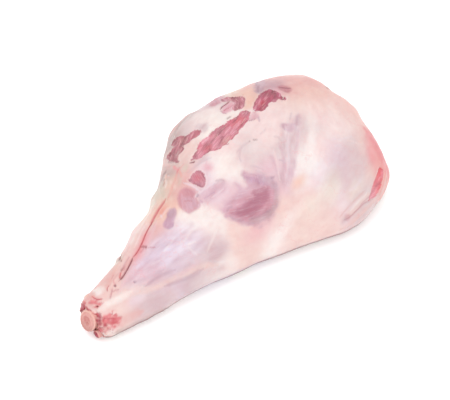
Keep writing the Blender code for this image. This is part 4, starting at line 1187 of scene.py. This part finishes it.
class Growth:
    # a geometry tree with named inputs, added one node at a time
    def __init__(self, name, **inputs):
        self.tree = bpy.data.node_groups.new(name, "GeometryNodeTree")
        face = self.tree.interface
        face.new_socket("Geometry", in_out="INPUT", socket_type="NodeSocketGeometry")
        face.new_socket("Geometry", in_out="OUTPUT", socket_type="NodeSocketGeometry")
        for key, value in inputs.items():
            kind = {int: "Int", float: "Float", bpy.types.Object: "Object"}.get(type(value), "Material")
            face.new_socket(key, in_out="INPUT", socket_type="NodeSocket" + kind)
        self.inputs = inputs
        self.start = self.tree.nodes.new("NodeGroupInput").outputs
        self.end = self.tree.nodes.new("NodeGroupOutput").inputs

    def add(self, kind, inputs=None, **settings):
        node = self.tree.nodes.new(kind)
        for key, value in settings.items():
            setattr(node, key, value)
        for key, value in (inputs or {}).items():
            if isinstance(value, bpy.types.NodeSocket):
                self.tree.links.new(value, node.inputs[key])
            else:
                node.inputs[key].default_value = value
        return node

    def math(self, kind, a, b=0.0, c=0.0):
        return self.add("ShaderNodeMath", {0: a, 1: b, 2: c}, operation=kind).outputs[0]

    def random(self, low, high, seed, kind="FLOAT"):
        node = self.add("FunctionNodeRandomValue", data_type=kind)
        wanted = {"FLOAT": "VALUE", "FLOAT_VECTOR": "VECTOR"}[kind]
        for key, value in (("Min", low), ("Max", high)):
            [i for i in node.inputs if i.name == key and i.type == wanted][0].default_value = value
        self.tree.links.new(seed, [i for i in node.inputs if i.name == "Seed"][0])
        return [o for o in node.outputs if o.type == wanted][0]

    def finish(self, geometry):
        self.tree.links.new(geometry, self.end[0])

    def grow(self, piece):
        modifier = piece.modifiers.new(self.tree.name, "NODES")
        modifier.node_group = self.tree
        for socket in self.tree.interface.items_tree:
            if socket.in_out == "INPUT" and socket.name in self.inputs:
                modifier[socket.identifier] = self.inputs[socket.name]
        return applied(piece)


def skinPart(name, keep):
    # a copy of the faces of the skin whose points are all kept
    mesh = lambLeg.data.copy()
    mesh.name = name
    shell = bmesh.new()
    shell.from_mesh(mesh)
    shell.verts.ensure_lookup_table()
    bmesh.ops.delete(shell, geom=[v for v, k in zip(shell.verts, keep) if not k], context="VERTS")
    shell.to_mesh(mesh)
    shell.free()
    mesh.materials.clear()
    return addObject(name, mesh)


threads = {
    "Density": 130000.0,        # per square metre
    "Length": 0.0080,
    "Width": 0.00060,
    "Sink": 0.00012,
    "Seed": 5,
}

shreds = {
    "Density": 70000.0,
    "Length": 0.0055,
    "Width": 0.0007,
    "Sink": 0.0001,
    "Seed": 9,
}

strands = {
    "widest": 0.7,              # marks thinner than this, in these tones, also get a strand
    "tones": ("maroon", "wine", "rust", "red"),
    "thickness": 0.55,          # its half width, as a share of the mark's
    "sizes": {"Step": 0.0008, "Wander": 0.0012},
}

beads = {
    "Density": 90000.0,
    "Size": 0.0015,
    "Seed": 3,
}


def threadTree(name, finish, sizes):
    t = Growth(name, Finish=finish, **sizes)
    put = t.add("GeometryNodeDistributePointsOnFaces", {"Mesh": t.start["Geometry"], "Density": t.start["Density"],
                                                        "Seed": t.start["Seed"]})
    sink = t.add("ShaderNodeVectorMath", {0: put.outputs["Normal"]}, operation="SCALE")
    t.tree.links.new(t.math("MULTIPLY", t.start["Sink"], -1.0), sink.inputs["Scale"])
    lowered = t.add("GeometryNodeSetPosition", {"Geometry": put.outputs["Points"], "Offset": sink.outputs[0]})
    way = t.add("GeometryNodeInputNamedAttribute", {"Name": "fibreWay"}, data_type="FLOAT_VECTOR").outputs["Attribute"]
    sway = t.add("ShaderNodeVectorMath", {0: way, 1: t.random((-0.16,) * 3, (0.16,) * 3, t.start["Seed"],
                                                              "FLOAT_VECTOR")}, operation="ADD").outputs[0]
    lying = t.add("FunctionNodeAlignRotationToVector", {"Vector": put.outputs["Normal"]}, axis="Z")
    lying = t.add("FunctionNodeAlignRotationToVector", {"Rotation": lying.outputs[0], "Vector": sway},
                  axis="X", pivot_axis="Z")
    line = t.add("GeometryNodeCurvePrimitiveLine", {"Start": (-0.5, 0.0, 0.0), "End": (0.5, 0.0, 0.0)})
    line = t.add("GeometryNodeResampleCurve", {"Curve": line.outputs[0], "Count": 7})
    share = t.add("GeometryNodeSplineParameter").outputs["Factor"]
    away = t.math("ABSOLUTE", t.math("MULTIPLY_ADD", share, 2.0, -1.0))
    belly = t.math("SQRT", t.math("MAXIMUM", t.math("SUBTRACT", 1.0, t.math("MULTIPLY", away, away)), 0.004))
    ring = t.add("GeometryNodeCurvePrimitiveCircle", {"Resolution": 6, "Radius": 0.5})
    rod = t.add("GeometryNodeCurveToMesh", {"Curve": line.outputs[0], "Profile Curve": ring.outputs[0],
                                            "Scale": belly, "Fill Caps": True})
    size = t.add("ShaderNodeCombineXYZ", {"X": t.math("MULTIPLY", t.start["Length"],
                                                      t.random(0.55, 1.45, t.start["Seed"])),
                                          "Y": t.math("MULTIPLY", t.start["Width"],
                                                      t.random(0.6, 1.5, t.start["Seed"])),
                                          "Z": t.start["Width"]})
    many = t.add("GeometryNodeInstanceOnPoints", {"Points": lowered.outputs[0], "Instance": rod.outputs[0],
                                                  "Rotation": lying.outputs[0], "Scale": size.outputs[0]})
    tone = t.add("GeometryNodeStoreNamedAttribute", {"Geometry": many.outputs[0], "Name": "threadTone",
                                                     "Value": t.random(0.0, 1.0, t.start["Seed"])},
                 data_type="FLOAT", domain="INSTANCE")
    real = t.add("GeometryNodeRealizeInstances", {"Geometry": tone.outputs[0]})
    smooth = t.add("GeometryNodeSetShadeSmooth", {"Geometry": real.outputs[0]})
    done = t.add("GeometryNodeSetMaterial", {"Geometry": smooth.outputs[0], "Material": t.start["Finish"]})
    t.finish(done.outputs[0])
    return t


def strandTree(name, finish, sizes):
    # thin strands that follow the given lines, laid down on the skin
    t = Growth(name, Finish=finish, Surface=lambLeg, **sizes)
    line = t.add("GeometryNodeMeshToCurve", {"Mesh": t.start["Geometry"]})
    line = t.add("GeometryNodeResampleCurve", {"Curve": line.outputs[0], "Length": t.start["Step"]}, mode="LENGTH")
    here = t.add("GeometryNodeInputPosition").outputs[0]
    wave = t.add("ShaderNodeTexNoise", {"Vector": here, "Scale": 260.0, "Detail": 2.0}).outputs["Color"]
    wave = t.add("ShaderNodeVectorMath", {0: wave, 1: (-0.5, -0.5, -0.5)}, operation="ADD").outputs[0]
    wave = t.add("ShaderNodeVectorMath", {0: wave, "Scale": t.start["Wander"]}, operation="SCALE").outputs[0]
    line = t.add("GeometryNodeSetPosition", {"Geometry": line.outputs[0], "Offset": wave})
    skinMesh = t.add("GeometryNodeObjectInfo", {"Object": t.start["Surface"]}).outputs["Geometry"]
    onSkin = t.add("GeometryNodeProximity", {"Geometry": skinMesh}, target_element="FACES").outputs["Position"]
    line = t.add("GeometryNodeSetPosition", {"Geometry": line.outputs[0], "Position": onSkin})
    wide = t.add("GeometryNodeInputNamedAttribute", {"Name": "strandWidth"}, data_type="FLOAT").outputs["Attribute"]
    ring = t.add("GeometryNodeCurvePrimitiveCircle", {"Resolution": 6, "Radius": 1.0})
    rod = t.add("GeometryNodeCurveToMesh", {"Curve": line.outputs[0], "Profile Curve": ring.outputs[0],
                                            "Scale": wide, "Fill Caps": True})
    smooth = t.add("GeometryNodeSetShadeSmooth", {"Geometry": rod.outputs[0]})
    done = t.add("GeometryNodeSetMaterial", {"Geometry": smooth.outputs[0], "Material": t.start["Finish"]})
    t.finish(done.outputs[0])
    return t


def beadTree(name, finish, sizes):
    t = Growth(name, Finish=finish, **sizes)
    put = t.add("GeometryNodeDistributePointsOnFaces", {"Mesh": t.start["Geometry"], "Density": t.start["Density"],
                                                        "Seed": t.start["Seed"]})
    ball = t.add("GeometryNodeMeshIcoSphere", {"Radius": 0.5, "Subdivisions": 2})
    size = t.add("ShaderNodeVectorMath", {0: t.random((0.5, 0.35, 0.35), (1.5, 1.0, 0.7), t.start["Seed"],
                                                      "FLOAT_VECTOR")}, operation="SCALE")
    t.tree.links.new(t.start["Size"], size.inputs["Scale"])
    spin = t.add("FunctionNodeRotateRotation", {"Rotation": put.outputs["Rotation"]})
    turn = t.add("FunctionNodeAxisAngleToRotation", {"Axis": (0.0, 0.0, 1.0), "Angle": t.random(0.0, 6.28,
                                                                                                t.start["Seed"])})
    t.tree.links.new(turn.outputs[0], spin.inputs["Rotate By"])
    spin.rotation_space = "LOCAL"
    many = t.add("GeometryNodeInstanceOnPoints", {"Points": put.outputs["Points"], "Instance": ball.outputs[0],
                                                  "Rotation": spin.outputs[0], "Scale": size.outputs[0]})
    tone = t.add("GeometryNodeStoreNamedAttribute", {"Geometry": many.outputs[0], "Name": "threadTone",
                                                     "Value": t.random(0.0, 1.0, t.start["Seed"])},
                 data_type="FLOAT", domain="INSTANCE")
    real = t.add("GeometryNodeRealizeInstances", {"Geometry": tone.outputs[0]})
    wave = t.add("ShaderNodeTexNoise", {"Scale": 700.0, "Detail": 2.0})
    shift = t.add("ShaderNodeVectorMath", {0: wave.outputs["Color"], 1: (-0.5, -0.5, -0.5)}, operation="ADD")
    shift = t.add("ShaderNodeVectorMath", {0: shift.outputs[0]}, operation="SCALE")
    t.tree.links.new(t.math("MULTIPLY", t.start["Size"], 0.6), shift.inputs["Scale"])
    lumpy = t.add("GeometryNodeSetPosition", {"Geometry": real.outputs[0], "Offset": shift.outputs[0]})
    smooth = t.add("GeometryNodeSetShadeSmooth", {"Geometry": lumpy.outputs[0]})
    done = t.add("GeometryNodeSetMaterial", {"Geometry": smooth.outputs[0], "Material": t.start["Finish"]})
    t.finish(done.outputs[0])
    return t


def threadMaterial(name, source, darkest, lightest, paler, paleShare):
    # takes the local colour of the skin under it, each thread a little different
    g = Graph(name)
    here = g.add("TexCoord").outputs["Object"]
    tone = g.read("threadTone")
    colour = g.mix(1.0, g.read(source, "Color"), g.mix(tone, (*darkest, 1.0), (*lightest, 1.0)), "MULTIPLY")
    colour = g.mix(g.ramp(tone, 1.0 - paleShare, 1.0, 0.0, 0.75), colour, (*asPaint(paler), 1.0))
    fine = g.spots(here, 900.0, 3.0)
    colour = g.mix(g.ramp(fine, 0.35, 0.7, 0.0, 0.3), colour, (0.82, 0.68, 0.70, 1.0), "MULTIPLY")
    g.set(Base_Color=colour, Roughness=g.math("MULTIPLY_ADD", fine, 0.2, 0.28))
    bump = g.add("Bump", {"Strength": 0.3, "Distance": 0.0003, "Height": fine})
    g.set(Normal=bump.outputs[0], Subsurface_Weight=0.15, Subsurface_Scale=0.002,
          Subsurface_Radius=(1.0, 0.4, 0.35), Coat_Weight=0.2, Coat_Roughness=0.2)
    return g.material


def strandLines(name, lines):
    # an edge mesh with one polyline for each strand: path, half width in mm, tone
    bark = BVHTree.FromPolygons([v.co for v in lambLeg.data.vertices], [q.vertices[:] for q in lambLeg.data.polygons])
    spots, links, widths, paints = [], [], [], []
    for path, halfWidth, tone in lines:
        line = roundPath(path) / 1000
        share = np.linspace(0.0, 1.0, len(line))
        for k, point in enumerate(line):
            if len(point) == 2:
                hit = bark.ray_cast(Vector((*point, 0.2)), Vector((0.0, 0.0, -1.0)))[0]
                point = hit if hit else (*point, 0.0)
            if k:
                links.append((len(spots) - 1, len(spots)))
            spots.append(tuple(point))
        widths.append(halfWidth / 1000 * np.clip(6 * np.minimum(share, 1 - share), 0.15, 1.0))
        paints.append(np.tile(asPaint(tone), (len(line), 1)))
    mesh = bpy.data.meshes.new(name)
    mesh.from_pydata(spots, links, [])
    setFloat(mesh, "strandWidth", np.concatenate(widths))
    setColour(mesh, "strandTone", np.concatenate(paints))
    return addObject(name, mesh)


def strandMaterial():
    g = Graph("skinStrand")
    here = g.add("TexCoord").outputs["Object"]
    fine = g.spots(here, 500.0, 3.0)
    colour = g.mix(g.ramp(fine, 0.35, 0.7, 0.0, 0.4), g.read("strandTone", "Color"), (0.86, 0.74, 0.76, 1.0),
                   "MULTIPLY")
    g.set(Base_Color=colour, Roughness=g.math("MULTIPLY_ADD", fine, 0.2, 0.3))
    bump = g.add("Bump", {"Strength": 0.3, "Distance": 0.0003, "Height": fine})
    g.set(Normal=bump.outputs[0], Subsurface_Weight=0.15, Subsurface_Scale=0.002,
          Subsurface_Radius=(1.0, 0.4, 0.35), Coat_Weight=0.2, Coat_Roughness=0.2)
    return g.material


def growOver(name, keep, makeTree, finish, sizes):
    piece = makeTree(name + "Tree", finish, sizes).grow(skinPart(name, keep))
    for attribute in ("fell", "bare", "film", "grain", "fibreWay"):
        if attribute in piece.data.attributes and attribute != "fell":
            piece.data.attributes.remove(piece.data.attributes[attribute])
    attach(piece, "root")
    print(name, len(piece.data.polygons))
    return piece


bare, film = look["bare"], look["film"]
growOver("muscleThreads", (bare > 0.9) & ~look["calm"], threadTree,
         threadMaterial("muscleThread", "flesh", (0.90, 0.80, 0.82), (1.30, 1.32, 1.32), "salmon", 0.18), threads)
growOver("tornShreds", (bare > -1.5) & (bare < 0.9) & ~look["calm"], threadTree,
         threadMaterial("tornShred", "fell", (0.95, 0.90, 0.92), (1.12, 1.12, 1.12), "snow", 0.4), shreds)
endFace = (skin["place"][:, 0] < -184.5) & (skin["away"] > 0.8) & (skin["facing"][:, 0] < -0.35)
growOver("endBeads", endFace & (skin["place"][:, 2] > 12.0), beadTree,
         threadMaterial("endBead", "fell", (0.75, 0.55, 0.58), (1.15, 1.10, 1.08), "shrimp", 0.2), beads)
thin = [(path, strands["thickness"] * halfWidth, tone) for path, halfWidth, _, tone, _, _ in marks
        if halfWidth < strands["widest"] and tone in strands["tones"]]
sinews = strandTree("sinewTree", strandMaterial(), strands["sizes"]).grow(strandLines("sinews", thin))
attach(sinews, "root")
print("strands", len(sinews.data.polygons))
print("threads and beads ready")
